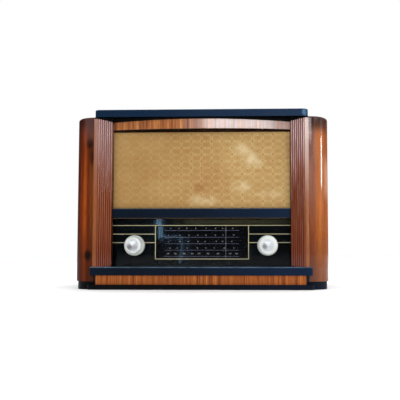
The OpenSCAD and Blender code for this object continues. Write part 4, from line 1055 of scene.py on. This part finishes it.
def scale_printing():
    random.seed(8467)
    y0, y1 = behind_glass(INK_DEPTH)
    lines = [(-ROW_END_X, ROW_END_X, y0, y1, z - ROW_HALF, z + ROW_HALF) for z in ROWS_Z]
    for z in ROWS_Z:
        for i in range(TICKS):
            x = TICK_START_X + TICK_PITCH * i
            foot = z + TICK_LIFT
            tall = TICK_TALL if i % 5 == 0 else TICK_SHORT
            lines.append((x - TICK_HALF, x + TICK_HALF, y0, y1, foot, foot + tall))
    for z in (ROWS_Z[0] + BAR_LIFT, ROWS_Z[2] + BAR_LIFT):
        lines.append((*BAR_X, y0, y1, z - BAR_HALF, z + BAR_HALF))
    add_piece("scale_lines", boxes_mesh("scale_lines", lines),
              painted("scale_ink", tone(90, 96, 128), tone(134, 140, 166), 0.5))
    labels = []
    for row, z in enumerate(ROWS_Z[:4]):
        for n in range(8):
            x = NUMBER_START_X + NUMBER_PITCH * n + random.uniform(-NUMBER_SPREAD, NUMBER_SPREAD)
            labels.append((str(10 * (n + 1) + 5 * row), x, z + NUMBER_LIFT, NUMBER_SIZE))
    for n, x in enumerate(LAST_X):
        labels.append((str(100 + 50 * n), x, LAST_Z, LAST_SIZE))
    mesh = text_mesh("scale_numbers", labels, (y0 + y1) / 2, y1 - y0)
    add_piece("scale_numbers", mesh,
              painted("number_ink", tone(146, 146, 148), tone(204, 202, 196), 0.5))


make_dial_mask()
gold_lines()
scale_printing()


# Studio: pale floor, pale surroundings behind the set, soft lights

FLOOR_HALF = 12.0


def make_stage():
    points = [(x, y, 0.0) for y in (-FLOOR_HALF, FLOOR_HALF) for x in (-FLOOR_HALF, FLOOR_HALF)]
    floor = bpy.data.objects.new("floor", mesh_of("floor", points, [(0, 1, 3, 2)], True))
    bpy.context.scene.collection.objects.link(floor)
    look = Look("pale_floor", Specular_IOR_Level=0.2)
    cloud = look.noise(3.0, 3.0)
    colour = look.mix(cloud, (0.88, 0.885, 0.89, 1.0), (0.92, 0.92, 0.92, 1.0))
    look.surface(colour, cloud, 0.3, 0.7, 0.62, 0.72)
    floor.data.materials.append(look.mat)


def area_light(name, place, target, size, power, colour=(1.0, 1.0, 1.0)):
    data = bpy.data.lights.new(name, "AREA")
    data.shape = "RECTANGLE"
    data.size, data.size_y = size
    data.energy = power
    data.color = colour
    light = bpy.data.objects.new(name, data)
    light.location = place
    light.rotation_euler = (Vector(target) - Vector(place)).to_track_quat("-Z", "Y").to_euler()
    light.visible_camera = False
    bpy.context.scene.collection.objects.link(light)


TARGET = (0.0, -0.10, 0.22)


def around(azimuth, elevation, far):
    """A place in front of the set: azimuth, towards +X, and elevation from TARGET, in degrees."""
    a, e = math.radians(azimuth), math.radians(elevation)
    return (TARGET[0] + far * math.sin(a) * math.cos(e),
            TARGET[1] - far * math.cos(a) * math.cos(e), TARGET[2] + far * math.sin(e))


make_stage()
area_light("glare", (0.3125, -2.42, 0.905), (0.074, -0.11, 0.343), (1.00, 0.22), 7.6,
           (0.97, 0.98, 1.0))
area_light("key", around(46.0, 25.0, 2.2), TARGET, (0.90, 0.70), 6.0, (1.0, 0.98, 0.95))
area_light("fill_left", around(-60.0, 20.0, 2.2), TARGET, (0.80, 0.80), 1.0, (0.94, 0.97, 1.0))
area_light("window_right", (2.03, -0.45, 0.568), (0.248, -0.10, 0.26), (0.24, 0.27), 9.5)

# The parts of a window whose reflection lies on the scale: name, x, z, width and height, power
WINDOW = (("window_pane", -0.588, 0.262, (0.047, 0.159), 0.60),
          ("window_bar", -0.497, 0.195, (0.151, 0.010), 0.10),
          ("window_edge", -0.422, 0.091, (0.018, 0.215), 0.17),
          ("window_rim", -0.368, 0.091, (0.016, 0.215), 0.05))
WINDOW_Y = -3.0
WINDOW_BLUE = (0.34, 0.66, 1.0)
for name, x, z, size, power in WINDOW:
    area_light(name, (x, WINDOW_Y, z), (x, 0.0, z), size, power, WINDOW_BLUE)
area_light("top", (0.0, 0.9, 2.4), (0.0, 0.5, 0.0), (2.6, 1.4), 26.0)


def make_sun():
    """Straight down and very soft: it whitens the floor, and hardly lights the set's front."""
    data = bpy.data.lights.new("overhead", "SUN")
    data.energy = 1.3
    data.angle = math.radians(40.0)
    bpy.context.scene.collection.objects.link(bpy.data.objects.new("overhead", data))


make_sun()

# How bright the surroundings are, from the horizon up to straight overhead
SKY = ((0.0, 0.10), (0.28, 0.13), (0.56, 0.85), (1.0, 1.0))


def make_world():
    """Dim at the horizon, so that little shows in the gloss, and white where the camera sees it."""
    world = bpy.data.worlds.new("world")
    world.use_nodes = True
    tree = world.node_tree
    split = tree.nodes.new("ShaderNodeSeparateXYZ")
    tree.links.new(tree.nodes.new("ShaderNodeTexCoord").outputs["Generated"], split.inputs[0])
    sky = tree.nodes.new("ShaderNodeValToRGB")
    sky.color_ramp.interpolation = "EASE"
    tree.links.new(split.outputs[2], sky.inputs[0])
    fill_ramp(sky.color_ramp, [(place, (level * 0.97, level * 0.99, level, 1.0))
                               for place, level in SKY])
    seen = tree.nodes.new("ShaderNodeMix")
    seen.data_type = "RGBA"
    seen.inputs[7].default_value = (1.0, 1.0, 1.0, 1.0)
    tree.links.new(tree.nodes.new("ShaderNodeLightPath").outputs["Is Camera Ray"], seen.inputs[0])
    tree.links.new(sky.outputs[0], seen.inputs[6])
    tree.links.new(seen.outputs[2], tree.nodes["Background"].inputs["Color"])
    bpy.context.scene.world = world


make_world()
bpy.context.scene.view_settings.view_transform = "Standard"
